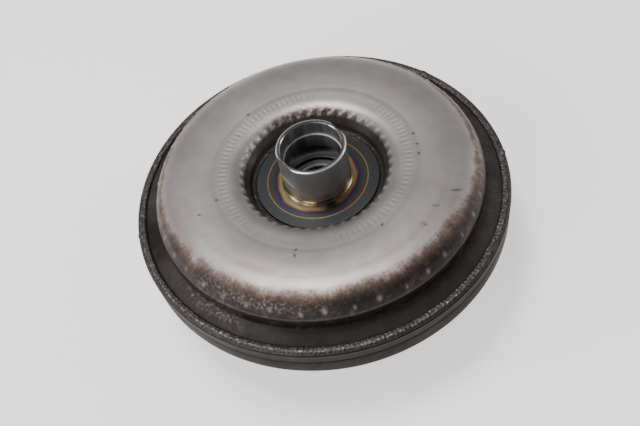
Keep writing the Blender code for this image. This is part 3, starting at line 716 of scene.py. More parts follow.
def pump_hub(steel):
    """The neck with two drive flats: its radius is the smaller of the round and the flats' distance
    over the cosine of the turn from them, above the flats' foot. The flange carries temper colours."""
    line = refined(rounded(HUB_OUTLINE, 3), 1.2)
    extra = [(HUB_RADIUS, FLAT_FOOT + 0.02), (HUB_RADIUS, FLAT_FOOT - 0.02)]
    at = int(np.nonzero((line[:, 0] > 21.7) & (line[:, 1] < FLAT_FOOT))[0][0])
    line = np.concatenate([line[:at], extra, line[at:]])
    angles = even_turn(360)
    grid = turned_grid(line, angles)
    radius = np.maximum(np.hypot(grid[..., 0], grid[..., 1]), 1e-6)
    reach = FLAT_REACH / np.maximum(np.abs(np.cos(angles)), 0.3)[:, None]
    cut = np.where(grid[..., 2] > FLAT_FOOT, np.minimum(radius, np.maximum(reach, 19.6)), radius)
    grid[..., :2] *= (cut / radius)[..., None]
    degrees = compass(angles)[:, None]
    r, z = line[None, :, 0], line[None, :, 1]
    upper = z > 7.0
    outside = upper & (r > 21.0)
    west = sector(degrees, -122, 62, 45)
    east = sector(degrees, -20, 60, 40)
    x, y = places(r, angles)
    phase = np.clip((r - 22.2) / 10.3 - 0.15 * west + 0.05 * east, 0, 1)
    phase = phase + 0.05 * smooth_noise(x / 4, y / 4, 0.0, 13)
    # Painted reflection: the flange's temper colours seen low on the hub's wall, towards the front-left.
    painted_wall_reflection = ramp(13.5 - z, 0, 5.0) * sector(degrees, -112, 60, 35)
    on_flange = outside & (z < 8.9) & (r < 32.35)
    front_corner_shade = sector(degrees, -81.0, 15, 12)
    low_wall = outside & (z > 8.8) & (r < 22)
    values = {
        "temper": np.where(z > 8.9, 0.18, np.clip(phase, 0.0, 1.0)),
        # On the flange the tint is temper colour; low on the wall it is a painted reflection of it.
        "tinted": np.where(on_flange, 0.94 - 0.4 * front_corner_shade, 0.8 * painted_wall_reflection * low_wall),
        # Painted highlight along the flange's step edge.
        "line": ((np.abs(r - 32.45) < 0.27) & (z > 6.9)) * (0.55 + 0.3 * west),
        "grey": ((r > 32.8) & (z > 6.0)) * 1.0,
        # Painted shade: the flange at the hub's front foot and away from the west, and the wall towards its
        # bottom.
        "dark": np.clip(0.8 * front_corner_shade * on_flange * bump(r - 24.5, 3.0) + 0.16 * on_flange * (1 - west)
                        + 0.85 * low_wall * ramp(17.0 - z, 0, 7) * (1 - 0.45 * painted_wall_reflection), 0, 1),
        "wall": (outside & (z > 8.9)) * 1.0,
        "bore": ((r < 19.7) & (z > 8.0) & (z < 37.0)) * 1.0,
        # Painted highlight: the hub's top edge and the bore's ledge.
        "bright": np.clip(bump(np.abs(z - HUB_TOP) + np.abs(r - 21.4), 0.5)
                          + 0.8 * bump(np.abs(z - BORE_LEDGE) + np.abs(r - 18.1), 0.42), 0, 1),
    }
    solid = Solid().add(grid, values=values)
    solid.finish("pump_hub_body", "housing", ["pump_hub"], steel, "ground_steel", 25)


def hub_weld(metal):
    """The bead that joins the hub's flange to the dome: its outline swells and sinks in ripples."""
    corners = [(40.05, 3.6), (40.05, 6.3, 0.2), (40.8, 6.0, 0.2), (41.5, 6.75, 0.4), (42.3, 6.35, 0.2),
               (43.2, 7.7, 0.3), (43.2, 4.6)]
    line = refined(rounded(corners, 3), 0.6)
    angles = even_turn(360)
    r = line[None, :, 0]
    x, y = places(42, angles)
    ripple = 0.10 * np.sin(angles[:, None] * 150 + 2 * smooth_noise(x / 9, y / 9, 0.0, 11))
    lumps = 0.12 * smooth_noise(x / 1.8, y / 1.8, r * 2, 12)
    free = ramp(line[None, :, 1], 5.2, 6.2) * ramp(43.15 - r, 0, 0.6)
    grid = turned_grid(line, angles, (ripple + lumps) * free)
    grooves = bump(r - 40.6, 0.35) + bump(r - 42.2, 0.35)
    # The crest value places painted glints along the bead's ridge.
    values = {"crest": 0.6 * bump(r - 41.5, 0.3), "burnt": np.clip(0.7 * grooves, 0, 1)}
    solid = Solid().add(grid, values=values)
    solid.finish("hub_weld_bead", "housing", ["hub_weld"], metal, "weld_metal", 60)


BEAD_REACH = 120.95  # the bead's lumps stay inside the cover's edge


def closing_weld(metal):
    """The rough bead round the rim: crescent ripples, random lumps, two big ones and a smooth lap."""
    corners = [(114.9, -0.15), (115.2, 0.45, 0.2), (116.1, 1.05, 0.5), (117.7, 1.35, 0.8),
               (119.2, 1.0, 0.6), (120.3, 0.25, 0.2), (120.5, -0.15)]
    line = refined(rounded(corners, 4), 0.55)
    angles = even_turn(1200)
    degrees = compass(angles)[:, None]
    r = line[None, :, 0]
    x, y = places(r, angles)
    slow = smooth_noise(x / 7, y / 7, 0.0, 21)
    bowed = degrees * 2.05 * 1.3 + ((r - 117.7) / 2.2) ** 2 * 1.2 + 1.2 * slow
    ripple = 0.14 * np.sin(bowed * 1.9)
    fine, coarse = smooth_noise(x / 0.85, y / 0.85, 0.0, 22), smooth_noise(x / 2.4, y / 2.4, 0.0, 23)
    lumps = 0.20 * fine + 0.12 * coarse
    lap = sector(degrees, -90.5, 2.8, 1.0)
    free = ramp(line[None, :, 1], -0.1, 0.7)
    calm = 0.35 + 0.65 * sector(degrees, -85.0, 100, 35)
    height = free * ((ripple + lumps + 0.08 * slow) * (1 - 0.85 * lap) * calm - 0.25 * lap)
    for at, size in ((-176.0, 1.5), (-5.0, 1.3), (-133.0, 0.6), (40.0, 0.7)):
        blob = bump(turn_gap(degrees, at) * 2.08, 1.6) * bump(r - 119.6, 1.0)
        height = height + size * blob * ramp(line[None, :, 1], -0.1, 0.5)
    grid = turned_grid(line, angles, height)
    grid[..., :2] *= np.minimum(1.0, BEAD_REACH / np.hypot(grid[..., 0], grid[..., 1]))[..., None]
    values = {
        # Painted glints along the bead's two crests, stronger on the camera's side.
        "crest": (np.clip(0.06 + 0.7 * bump(r - 116.2, 0.4) + 0.85 * bump(r - 118.2, 0.4), 0, 1)
                  * (0.5 + 0.5 * calm)),
        "burnt": np.clip(0.7 * ramp(r, 118.7, 119.4) + 0.6 * bump(r - 115.1, 0.4), 0, 1),
    }
    solid = Solid().add(grid, values=values)
    solid.finish("closing_weld_bead", "housing", ["closing_weld"], metal, "weld_metal", 70)


COVER_OUTLINE = [
    (118.3, -0.3), (120.3, -0.3, 0.4), (121.0, -1.0, 0.5), (121.0, -1.6), (121.0, -2.1), (121.0, -7.8),
    (120.75, -8.0), (120.75, -8.35), (121.0, -8.6), (121.0, -19.0, 1.0), (119.6, -22.2, 2.5),
    (113.6, -25.8, 5.0), (108.0, -34.0, 6.0),
    (103.0, -43.0, 4.0), (100.8, -45.7, 2.0), (96.8, -47.0, 1.5), (55.0, -47.0, 3.0), (48.0, -44.5, 3.0),
    (14.3, -44.5, 0.5), (14.3, -41.0, 0.5), (48.7, -41.0, 3.0), (55.6, -43.5, 3.0), (96.4, -43.5, 1.0),
    (98.9, -42.2, 1.0), (105.0, -32.2, 5.0), (111.0, -23.8, 4.0), (116.5, -20.0, 1.5), (116.5, -3.6),
    (118.3, -3.6),
]


def front_cover(steel):
    """The deep pressed cover: a turned wall with a scored line round its skirt, and pads for the lugs."""
    line = refined(rounded(COVER_OUTLINE, 5), 2.6)
    angles = even_turn(432)
    r, z = line[None, :, 0], line[None, :, 1]
    x, y = places(r, angles)
    outside = (r > 100) & (z < -9)
    waves = 0.05 * smooth_noise(x / 12, y / 12, z / 12, 31) * outside
    grid = turned_grid(line, angles, waves * ramp(120.9 - r, 0, 1.5))
    degrees = compass(angles)[:, None]
    flat_skirt = (r > 120.5) & (z < -0.6)
    # Painted shade: the skirt is darker on the camera's side, and its lighter bands are weaker there.
    front_painted_shade = 0.25 + 0.75 * sector(degrees, -84.0, 70, 50)
    values = {
        "band": np.clip(0.55 * flat_skirt * ramp(z, -8.6, -7.6) * (1 - 0.5 * front_painted_shade)
                        + 0.40 * flat_skirt * ramp(-z, 13, 17) * (1 - 0.5 * front_painted_shade)
                        + 0.7 * bump(z + 1.5, 0.3) * (r > 120), 0, 1),
        "dark": np.clip(bump(z + 8.2, 0.3) * (r > 120) + 0.5 * bump(z + 22.5, 1.2) * (r > 116)
                        + 0.9 * bump(z + 0.4, 0.35) * (r > 119) + 0.42 * front_painted_shade * flat_skirt, 0, 1),
    }
    solid = Solid().add(grid, values=values)
    solid.finish("front_cover_skin", "housing", ["front_cover"], steel, "oxidised_steel", 35)


# Finishes of the pieces inside the housing and underneath.


def pressed_steel():
    """Oiled sheet steel: soft clouds, fine press lines and small dark specks."""
    f = Finish("pressed_steel", 0.95, 0.36)
    cloud = f.noise(18, 4)
    colour = f.mixed(f.span(cloud, 0.3, 0.7), (0.36, 0.35, 0.335), (0.48, 0.465, 0.445))
    lines = f.noise(0.8, 4, 0.7, f.rings)
    colour = f.mixed(f.span(lines, 0.45, 0.75, 0, 0.4), colour, (0.26, 0.255, 0.25))
    colour = f.mixed(f.span(f.noise(1.0, 3, seed=2.0), 0.68, 0.74), colour, (0.09, 0.075, 0.06))
    f.relief(lines, 0.012)
    f.relief(f.noise(1.5, 4), 0.02)
    return f.done(colour, f.span(cloud, 0.3, 0.7, 0.44, 0.30))


def cast_aluminium():
    """Fine cast aluminium: a grainy skin with shallow pits, brighter where it was machined in rings."""
    f = Finish("cast_aluminium", 0.9, 0.45)
    grain = f.noise(0.7, 5, 0.75)
    colour = f.mixed(f.span(grain, 0.3, 0.7), (0.52, 0.53, 0.54), (0.72, 0.73, 0.74))
    pits = f.span(f.cells(1.6), 0.10, 0.22, 1.0, 0.0)
    colour = f.mixed(f.times(pits, 0.6), colour, (0.30, 0.30, 0.31))
    f.relief(grain, 0.06)
    f.relief(f.noise(0.5, 3, 0.6, f.rings), 0.01)
    return f.done(colour, f.span(grain, 0.3, 0.7, 0.52, 0.40))


def spring_steel():
    """Dark tempered steel: blue-black with straw patches and a fine drawn grain."""
    f = Finish("spring_steel", 0.95, 0.3)
    heat = f.noise(7, 4, 0.6)
    colour = f.scale_of(heat, [(0.3, (0.075, 0.085, 0.11)), (0.5, (0.14, 0.145, 0.16)),
                               (0.72, (0.21, 0.17, 0.12))])
    grain = f.noise(0.5, 5, 0.7)
    colour = f.mixed(f.span(grain, 0.5, 0.75, 0, 0.5), colour, (0.30, 0.30, 0.31))
    f.relief(grain, 0.012)
    return f.done(colour, f.span(grain, 0.3, 0.7, 0.38, 0.24))


def friction_paper():
    """Brown friction paper: short fibres, darker pores and a slight rubbed shine."""
    f = Finish("friction_paper", 0.0, 0.85)
    fibres = f.noise(0.45, 6, 0.8)
    colour = f.scale_of(fibres, [(0.3, (0.085, 0.05, 0.026)), (0.5, (0.19, 0.125, 0.07)),
                                 (0.72, (0.31, 0.22, 0.13))])
    colour = f.mixed(f.span(f.cells(0.9), 0.12, 0.3, 0.8, 0.0), colour, (0.035, 0.022, 0.013))
    f.relief(fibres, 0.09)
    return f.done(colour, f.span(f.noise(12, 3), 0.3, 0.7, 0.92, 0.74))


def seal_polymer():
    """Black filled polymer: a matt moulded skin with faint grey flow marks."""
    f = Finish("seal_polymer", 0.0, 0.5)
    flow = f.noise(4, 4, 0.6, f.rings)
    colour = f.mixed(f.span(flow, 0.35, 0.7), (0.030, 0.030, 0.033), (0.062, 0.061, 0.064))
    f.relief(f.noise(0.4, 4, 0.7), 0.02)
    return f.done(colour, f.span(flow, 0.3, 0.7, 0.58, 0.44))


def machined_steel():
    """Machined bright steel with fine rings and a slight oil haze, for races, lugs and rollers."""
    f = Finish("machined_steel", 1.0, 0.22)
    lines = f.noise(0.3, 4, 0.7, f.rings)
    haze = f.noise(8, 3)
    colour = f.mixed(f.span(haze, 0.3, 0.7), (0.32, 0.315, 0.31), (0.44, 0.44, 0.44))
    colour = f.mixed(f.span(lines, 0.45, 0.75, 0, 0.45), colour, (0.30, 0.30, 0.305))
    colour = f.mixed(f.span(f.noise(3, 4, seed=5.0), 0.62, 0.74, 0, 0.5), colour, (0.20, 0.17, 0.14))
    # Painted highlight where the mesh's bright value is set: the stator race's top face and its edges.
    colour = f.mixed(f.value("bright"), colour, (0.80, 0.79, 0.77))
    f.relief(lines, 0.008)
    return f.done(colour, f.span(lines, 0.3, 0.8, 0.20, 0.32), f.span(f.value("bright"), 0, 1, 1.0, 0.4))


# Pieces fixed to the housing.


def splined(angles, inner, outer, teeth, share=0.5):
    """Radius of a toothed ring: outer over a share of each pitch, inner elsewhere, with sloped flanks."""
    phase = np.abs((angles * teeth / FULL_TURN + 0.5) % 1.0 - 0.5)
    return inner + (outer - inner) * ramp(share / 2 + 0.05 - phase, 0, 0.1)


def reshape(grid, low, high, radius, floor=-1e3, roof=1e3):
    """Gives the points whose radius and height lie between limits a radius that depends on the angle."""
    r = np.hypot(grid[..., 0], grid[..., 1])
    chosen = (r > low) & (r < high) & (grid[..., 2] > floor) & (grid[..., 2] < roof)
    new = np.where(chosen, radius[:, None] + 0 * r, r)
    grid[..., :2] *= (new / np.maximum(r, 1e-9))[..., None]
    return grid


def polar(radius, degrees):
    """East and north of a point on a circle about the main axis."""
    return radius * math.cos(math.radians(degrees)), radius * math.sin(math.radians(degrees))


def pilot_boss(steel):
    """The boss that centres the converter: turned, with a rounded tip, a recess and a centre dimple."""
    line = rounded([(0.0, -56.2), (1.3, -55.0), (11.0, -55.0, 0.5), (11.0, -41.3, 0.3), (14.0, -41.3, 0.3),
                    (14.0, -44.8, 0.2), (17.5, -44.8, 0.2), (17.5, -62.4, 0.6), (15.9, -64.0, 0.3),
                    (2.2, -64.0), (0.0, -61.8)], 4, False)
    grid = turned_grid(refined(line, 1.5, False), even_turn(144), closed=False)
    solid = Solid().add(grid, True, False)
    solid.finish("pilot_boss_body", "housing", ["pilot_boss"], steel, "ground_steel", 30)


def pilot_weld(metal):
    """The fillet bead round the pilot boss, a triangle with a rippled face."""
    corners = [(17.85, -44.75), (20.6, -44.85, 0.3), (19.6, -46.1, 0.8), (17.85, -47.4, 0.3)]
    line = refined(rounded(corners, 3), 0.5)
    angles = even_turn(300)
    x, y = places(19, angles)
    sway = 1.5 * smooth_noise(x / 5, y / 5, 0.0, 41)
    wave = 0.12 * np.sin(angles[:, None] * 75 + sway - line[None, :, 1])
    lumps = 0.10 * smooth_noise(x / 0.8, y / 0.8, line[None, :, 1], 42)
    free = ramp(-line[None, :, 1], 44.8, 45.4) * ramp(line[None, :, 0], 17.9, 18.4)
    grid = turned_grid(line, angles, (wave + lumps) * free)
    Solid().add(grid).finish("pilot_weld_bead", "housing", ["pilot_weld"], metal, "weld_metal", 60)


LUG_CIRCLE = 86.0
LUG_HOLE = 4.3
THREAD_PITCH = 1.25
THREAD_DEPTH = 0.55


def drive_lugs(steel):
    """Threaded lugs: the bore's radius is a triangle wave of height plus the turn round its axis."""
    corners = [(LUG_HOLE + 0.7, -47.3), (11.0, -47.3, 0.3), (11.0, -55.5), (10.2, -56.3, 0.2),
               (LUG_HOLE + 0.9, -56.3)]
    bore = [(LUG_HOLE, z) for z in np.linspace(-55.5, -48.0, 61)]
    line = np.concatenate([refined(rounded(corners, 3, False), 2.0, False), bore])
    angles = even_turn(48)
    for i in range(4):
        place = polar(LUG_CIRCLE, 45.0 + 90.0 * i)
        grid = turned_grid(line, angles)
        phase = (grid[..., 2] / THREAD_PITCH + angles[:, None] / FULL_TURN) % 1.0
        depth = THREAD_DEPTH * (1 - np.abs(2 * phase - 1))
        deep = np.where(np.hypot(grid[..., 0], grid[..., 1]) < LUG_HOLE + 0.1, depth, 0.0)
        grid[..., :2] *= (1 + deep / LUG_HOLE)[..., None]
        grid[..., :2] += place
        solid = Solid().add(grid)
        node = f"drive_lug_{i + 1}"
        solid.finish(node + "_body", "housing", [node], steel, "ground_steel", 30)


def balance_weights(metal):
    """Curved steel tags: a rounded section carried round an arc, drooping at both ends."""
    corners = [(-3.75, -49.2, 0.4), (3.75, -49.2, 0.4), (3.75, -47.35, 0.2), (-3.75, -47.35, 0.2)]
    section = rounded(corners, 3)
    for i, middle in enumerate((20.0, 180.0)):
        angles = np.radians(middle + np.linspace(-5, 5, 33))[:, None]
        squeeze = np.sqrt(np.clip(1 - np.linspace(-1, 1, 33) ** 8, 0.02, 1))[:, None]
        radius = 91.25 + section[None, :, 0] * squeeze
        z = -48.25 + (section[None, :, 1] + 48.25) * (0.75 + 0.25 * squeeze) + 0 * angles
        grid = np.stack([radius * np.cos(angles), radius * np.sin(angles), z], axis=-1)
        solid = Solid().add(capped(grid), False, True)
        node = f"balance_weight_{i + 1}"
        solid.finish(node + "_tag", "housing", [node], metal, "weld_metal", 40)


RING_PIECES = (  # node, body, finish, slot, outline
    ("cover_thrust_washer", "housing", "polymer", "seal_polymer",
     [(12.0, -39.8, 0.2), (19.0, -39.8, 0.2), (19.0, -40.7, 0.2), (12.0, -40.7, 0.2)]),
    ("rear_bearing_race", "housing", "machined", "ground_steel",
     [(22.0, 2.7, 0.2), (38.0, 2.7, 0.2), (38.0, 1.9, 0.2), (22.0, 1.9, 0.2)]),
    ("front_bearing_race", "turbine", "machined", "ground_steel",
     [(22.0, -16.5, 0.2), (38.0, -16.5, 0.2), (38.0, -17.6, 0.2), (22.0, -17.6, 0.2)]),
    ("piston_seal", "turbine", "polymer", "seal_polymer",
     [(18.9, -36.5, 0.3), (20.1, -36.5, 0.3), (20.1, -37.7, 0.3), (18.9, -37.7, 0.3)]),
    ("clutch_rear_plate", "stator", "spring", "spring_steel",
     [(21.0, -0.3, 0.2), (39.6, -0.3, 0.2), (39.6, -1.3, 0.2), (21.0, -1.3, 0.2)]),
    ("clutch_front_plate", "stator", "spring", "spring_steel",
     [(21.0, -12.5, 0.2), (39.6, -12.5, 0.2), (39.6, -13.5, 0.2), (21.0, -13.5, 0.2)]),
)


def ring_pieces(finishes):
    """Races, washers and side plates: small rounded rectangles turned round the axis."""
    for node, body, finish, slot, corners in RING_PIECES:
        ring = turned(corners, 160, step=3.0, steps=3)
        ring.finish(node + "_ring", body, [node], finishes[finish], slot, 30)


def needle_bearing(node, body, inner, outer, low, high, count, cage, needle):
    """A slotted cage, and needles that lie along its radii as cylinders in the slots."""
    columns = count * 8
    radii = np.array([inner, inner + 2.4, inner + 2.6, outer - 2.6, outer - 2.4, outer])
    slot_column = np.arange(columns) % 8 < 5
    keep = np.ones((columns, 5), bool)
    keep[np.ix_(slot_column, [2])] = False
    middle, thick = (low + high) / 2, (high - low)
    a, r = np.meshgrid(even_turn(columns), radii, indexing="ij")
    xy = np.stack([r * np.cos(a), r * np.sin(a)], axis=-1)
    plate_solid(xy, keep, middle - 0.28 * thick, middle + 0.28 * thick).finish(
        node + "_cage", body, [node], cage, "spring_steel", 40)
    size = thick / 2 - 0.02
    stations = np.array([inner + 2.75, inner + 2.95, outer - 2.95, outer - 2.75])
    girth = np.array([0.75, 1.0, 1.0, 0.75]) * size
    spread = even_turn(12)
    rollers = Solid()
    for i in range(count):
        across = girth[:, None] * np.cos(spread)
        rise = middle + girth[:, None] * np.sin(spread)
        grid = np.stack([stations[:, None] + 0 * across, across, rise], axis=-1)
        rollers.add(turn_about_z(capped(grid), (i * 8 + 2.5) / columns * FULL_TURN), False, True)
    rollers.finish(node + "_needles", body, [node], needle, "spring_steel", 40)


# The pump's and the turbine's vanes.


def vane_set(count, shell_line, core_line, sweep, lean, thick=0.8):
    """Curved vanes: a point lies between a shell line and a core line of the section, and its turn
    about the axis is the sweep times a curve of the way along, plus a lean across. The two faces are
    half a thickness either side, and they meet at both ends."""
    rows, across = len(shell_line), 7
    u = np.linspace(0, 1, rows)[:, None]
    v = np.linspace(0, 1, across)[None, :]
    section = shell_line[:, None, :] * (1 - v)[..., None] + core_line[:, None, :] * v[..., None]
    turn = np.radians(sweep) * (u**1.6) + np.radians(lean) * v
    body = np.minimum(np.minimum(u, 1 - u) * 14, 1.0) + 0 * v
    vanes = Solid()
    radius = section[..., 0]
    half = body * thick / 2 / radius
    for i in range(count):
        start = i * FULL_TURN / count
        faces = []
        for side in (half, -half):
            angle = start + turn + side
            east, north = radius * np.cos(angle), radius * np.sin(angle)
            faces.append(np.stack([east, north, section[..., 1]], axis=-1))
        vanes.add(np.concatenate([faces[0], faces[1][:, ::-1]], axis=1), False, True)
    return vanes


def ellipse(height, width, depth, degrees):
    """Points round the middle of the oil circuit's section, at radius 76."""
    a = np.radians(degrees)
    return np.stack([76.0 + width * np.cos(a), height + depth * np.sin(a)], axis=-1)


def pump_vane_ring(steel):
    """The pump's vanes follow the dome's inside, and a half-round core ring ties them together."""
    shell = [(54.2, 6.4), (54.4, 11.0), (56.6, 15.2), (63.0, 17.3), (76.0, 18.2), (88.0, 17.5),
             (94.5, 15.4), (98.8, 10.5), (100.1, 4.0), (100.1, -0.9)]
    shell = through(shell, 3)
    core = ellipse(-1.0, 11.2, 7.7, np.linspace(158, 0, len(shell)))
    core[:, 1] = np.maximum(core[:, 1], -0.9)
    vanes = vane_set(VANES, shell, core, -9.0, 4.0)
    line = np.concatenate([ellipse(-1.0, 11.5, 8.0, np.linspace(180, 0, 33)),
                           ellipse(-1.0, 10.5, 7.0, np.linspace(0, 180, 33))])
    vanes.add(turned_grid(line, even_turn(168)))
    vanes.finish("pump_vanes", "housing", ["pump_vane_ring"], steel, "pressed_steel", 40)


def turbine_vane_ring(steel):
    """The turbine's vanes are bent more than the pump's and face them across a small gap."""
    shell = ellipse(-3.5, 22.2, -16.0, np.linspace(140, 0, 28))
    core = ellipse(-3.5, 11.2, -7.7, np.linspace(156, 0, 28))
    core[:, 1] = np.minimum(core[:, 1], -3.6)
    shell[:, 1] = np.minimum(shell[:, 1], -3.6)
    vanes = vane_set(TURBINE_VANES, shell, core, 24.0, -5.0)
    line = np.concatenate([ellipse(-3.5, 10.5, -7.0, np.linspace(180, 0, 33)),
                           ellipse(-3.5, 11.5, -8.0, np.linspace(0, 180, 33))])
    vanes.add(turned_grid(line, even_turn(155)))
    vanes.finish("turbine_vanes", "turbine", ["turbine_vane_ring"], steel, "pressed_steel", 40)


def turbine_shell(steel):
    """A half-round pressed shell with a flat foot, whose dimples mark the vanes' tabs."""
    sweep = np.linspace(0, 138, 47)
    upper = ellipse(-3.5, 23.4, -17.2, sweep[::-1])
    lower = ellipse(-3.5, 25.0, -18.8, sweep)
    foot_top, foot_under = [(43.5, -15.9), (50.0, -15.9), (54.6, -15.9)], [(54.0, -17.5), (43.5, -17.5)]
    line = np.concatenate([foot_top, upper, lower, foot_under])
    angles = even_turn(TURBINE_VANES * 12)
    share = (angles * TURBINE_VANES / FULL_TURN) % 1.0 - 0.5
    outside = np.zeros(len(line))
    outside[len(foot_top) + len(upper):-len(foot_under)] = 1.0
    r, z = line[:, 0], line[:, 1]
    spots = bump(np.hypot(r - 95.0, z + 13.2), 1.3) + bump(np.hypot(r - 62.0, z + 18.6), 1.2)
    height = -0.45 * bump(share[:, None], 0.07) * (spots * outside)[None, :]
    grid = turned_grid(line, angles, height)
    Solid().add(grid).finish("turbine_bowl", "turbine", ["turbine_shell"], steel, "pressed_steel", 35)


def turbine_hub(steel):
    """The splined hub: toothed bore, toothed nose and a groove for the piston's seal."""
    corners = [(9.5, -18.0, 0.3), (52.0, -18.0, 0.3), (52.0, -21.5, 0.4), (20.0, -21.5, 0.8),
               (20.0, -25.8), (20.0, -26.0), (20.0, -33.0), (20.0, -33.2), (20.0, -36.2, 0.1),
               (18.6, -36.2, 0.1), (18.6, -38.0, 0.1), (20.0, -38.0, 0.1), (20.0, -39.5, 0.4),
               (9.5, -39.5, 0.3)]
    angles = even_turn(288)
    grid = turned_grid(refined(rounded(corners, 3), 2.0), angles)
    grid = reshape(grid, 0.0, 9.9, splined(angles, 9.5, 10.7, 24))
    grid = reshape(grid, 19.9, 20.1, splined(angles, 18.8, 20.0, 12, 0.45), -33.1, -25.9)
    Solid().add(grid).finish("turbine_hub_body", "turbine", ["turbine_hub"], steel, "ground_steel", 28)


def headed_pins(names, body, circle_radius, start, shank, head, low, high, thick, steel):
    """Rivets: a round shank with a domed head at each end."""
    corners = [(0.0, high), (head * 0.6, high, 0.3), (head, high - thick * 0.6, 0.3), (head, high - thick),
               (shank, high - thick, 0.1), (shank, low + thick, 0.1), (head, low + thick),
               (head, low + thick * 0.6, 0.3), (head * 0.6, low, 0.3), (0.0, low)]
    for i, name in enumerate(names):
        place = polar(circle_radius, start + 360.0 * i / len(names))
        turned(corners, 32, place, 2.5, 3).finish(name + "_rivet", body, [name], steel, "spring_steel", 35)


# The damper, the piston and their springs.


# A window's two long sides: distance from the axis, and half the length.
SNUG_WINDOW = ((51.5, 20.6), (64.5, 20.6))
LOOSE_WINDOW = ((48.7, 31.0), (66.3, 25.0))  # with room for the springs as the damper twists
WINDOW_SHARE = 0.52  # of each quarter's columns


def windowed_grid(inner, outer, window, columns=72):
    """Points of a ring with four windows. Each quarter is a net whose lines run from the inner edge,
    by way of the window's two long sides, to the outer edge. The edges' radii are functions of the
    angle, and beyond the window the sides bend round inside the outer edge."""
    u = np.linspace(-1, 1, columns, endpoint=False)
    quarter = np.pi / 4
    beyond = np.clip((np.abs(u) - WINDOW_SHARE) / (1 - WINDOW_SHARE), 0, 1)[:, None]
    roof = np.where(beyond[:, 0] > 0, outer(u * quarter + quarter) - 1.2, 1e3)
    sides = []
    for level, half in window:
        straight = np.stack([np.full_like(u, level), np.clip(u / WINDOW_SHARE, -1, 1) * half], -1)
        bent = (level + 3) * np.stack([np.cos(u * quarter), np.sin(u * quarter)], -1)
        side = straight * (1 - beyond) + bent * beyond
        sides.append(side * np.minimum(1, roof / np.hypot(side[:, 0], side[:, 1]))[:, None])
    open_columns = (u > -WINDOW_SHARE - 1e-9) & (u + 2.0 / columns < WINDOW_SHARE + 1e-9)
    nets = []
    for i in range(4):
        angle = u * quarter + (2 * i + 1) * quarter
        c, s = math.cos((2 * i + 1) * quarter), math.sin((2 * i + 1) * quarter)
        turn = np.array([[c, s], [-s, c]])
        way = np.stack([np.cos(angle), np.sin(angle)], -1)
        ends = [inner(angle)[:, None] * way, *(side @ turn for side in sides), outer(angle)[:, None] * way]
        rows = []
        for start, end, steps in zip(ends[:-1], ends[1:], (3, 1, 3)):
            t = np.arange(steps)[:, None, None] / steps
            rows.append(start * (1 - t) + end * t)
        nets.append(np.concatenate([*rows, ends[-1][None]]).transpose(1, 0, 2))
    keep = np.ones((columns, nets[0].shape[1] - 1), bool)
    keep[open_columns, 3] = False
    return np.concatenate(nets), np.tile(keep, (4, 1))


def notch(angle, full, deep, count, half_degrees):
    """Radius of an edge with notches: deep within half_degrees of each notch's middle, else full."""
    pitch = 360.0 / count
    off = np.abs((np.degrees(angle) + pitch / 2) % pitch - pitch / 2)
    return deep + (full - deep) * ramp(off, half_degrees, half_degrees + 1.3)


def damper_plates(steel):
    """The driven plate on the hub's teeth between two plates that hold the springs and the pins."""
    plates = (
        ("damper_driven_plate", "turbine", -31.25, -28.75, LOOSE_WINDOW,
         lambda a: splined(a, 19.1, 20.35, 12, 0.5), lambda a: notch(a, 72.0, 65.8, 4, 10.3)),
        ("damper_rear_plate", "damper_drive", -27.0, -25.5, SNUG_WINDOW,
         lambda a: 26.0 + 0 * a, lambda a: 74.0 + 0 * a),
        ("damper_front_plate", "damper_drive", -34.5, -33.0, SNUG_WINDOW,
         lambda a: 30.0 + 0 * a, lambda a: notch(a, 82.0, 77.2, 8, 3.2)),
    )
    for node, body, low, high, window, inner, outer in plates:
        xy, keep = windowed_grid(inner, outer, window)
        solid = plate_solid(xy, keep, low, high)
        solid.finish(node + "_sheet", body, [node], steel, "pressed_steel", 35)


def damper_springs(steel):
    """Coil springs: a round wire carried along a helix whose end turns close up."""
    turns, wire, radius, half = 5.0, 1.4, 4.6, 16.6
    t = np.linspace(0, 1, 151)
    spin = FULL_TURN * turns * t
    along = -half + 2 * half * (t - 0.045 * np.sin(FULL_TURN * t))
    path = np.stack([radius * np.cos(spin), along, radius * np.sin(spin)], axis=1)
    outward = np.stack([np.cos(spin), 0 * t, np.sin(spin)], axis=1)
    coil = swept(path, circle(wire, 12), up=outward) + np.array([58.0, 0.0, -30.0])
    for i in range(4):
        grid = turn_about_z(coil, math.radians(45 + 90 * i))
        name = f"damper_spring_{i + 1}"
        solid = Solid().add(grid, False, True)
        solid.finish(name + "_coil", "damper_drive", [name], steel, "spring_steel", 60)


def lockup_piston(steel):
    """A dished pressing, and eight bent fingers near its rim as rounded bars."""
    corners = [(20.4, -33.5, 0.4), (22.8, -33.5, 0.4), (22.8, -36.5, 1.4), (47.0, -36.5, 3.0),
               (52.0, -39.7, 3.0), (94.0, -39.7, 1.0), (94.0, -36.5, 0.4), (96.0, -36.5, 0.6),
               (96.0, -41.7, 1.6), (51.3, -41.7, 3.0), (46.0, -38.5, 3.0), (20.4, -38.5, 0.4)]
    solid = turned(corners, 192, step=3.0)
    bar = rounded([(77.8, -3.5, 0.5), (80.4, -3.5, 0.5), (80.4, 3.5, 0.5), (77.8, 3.5, 0.5)], 3)
    heights = np.array([-40.6, -40.2, -33.4, -32.7, -32.4])[:, None, None]
    size = np.array([1.08, 1.0, 1.0, 0.92, 0.7])[:, None, None]
    middle = bar.mean(0)
    rise = np.broadcast_to(heights, (len(heights), len(bar), 1))
    finger = capped(np.concatenate([middle + (bar - middle) * size, rise], axis=-1))
    for i in range(8):
        solid.add(turn_about_z(finger, math.radians(45 * i)), False, True)
    solid.finish("lockup_piston_dish", "piston", ["lockup_piston"], steel, "pressed_steel", 35)


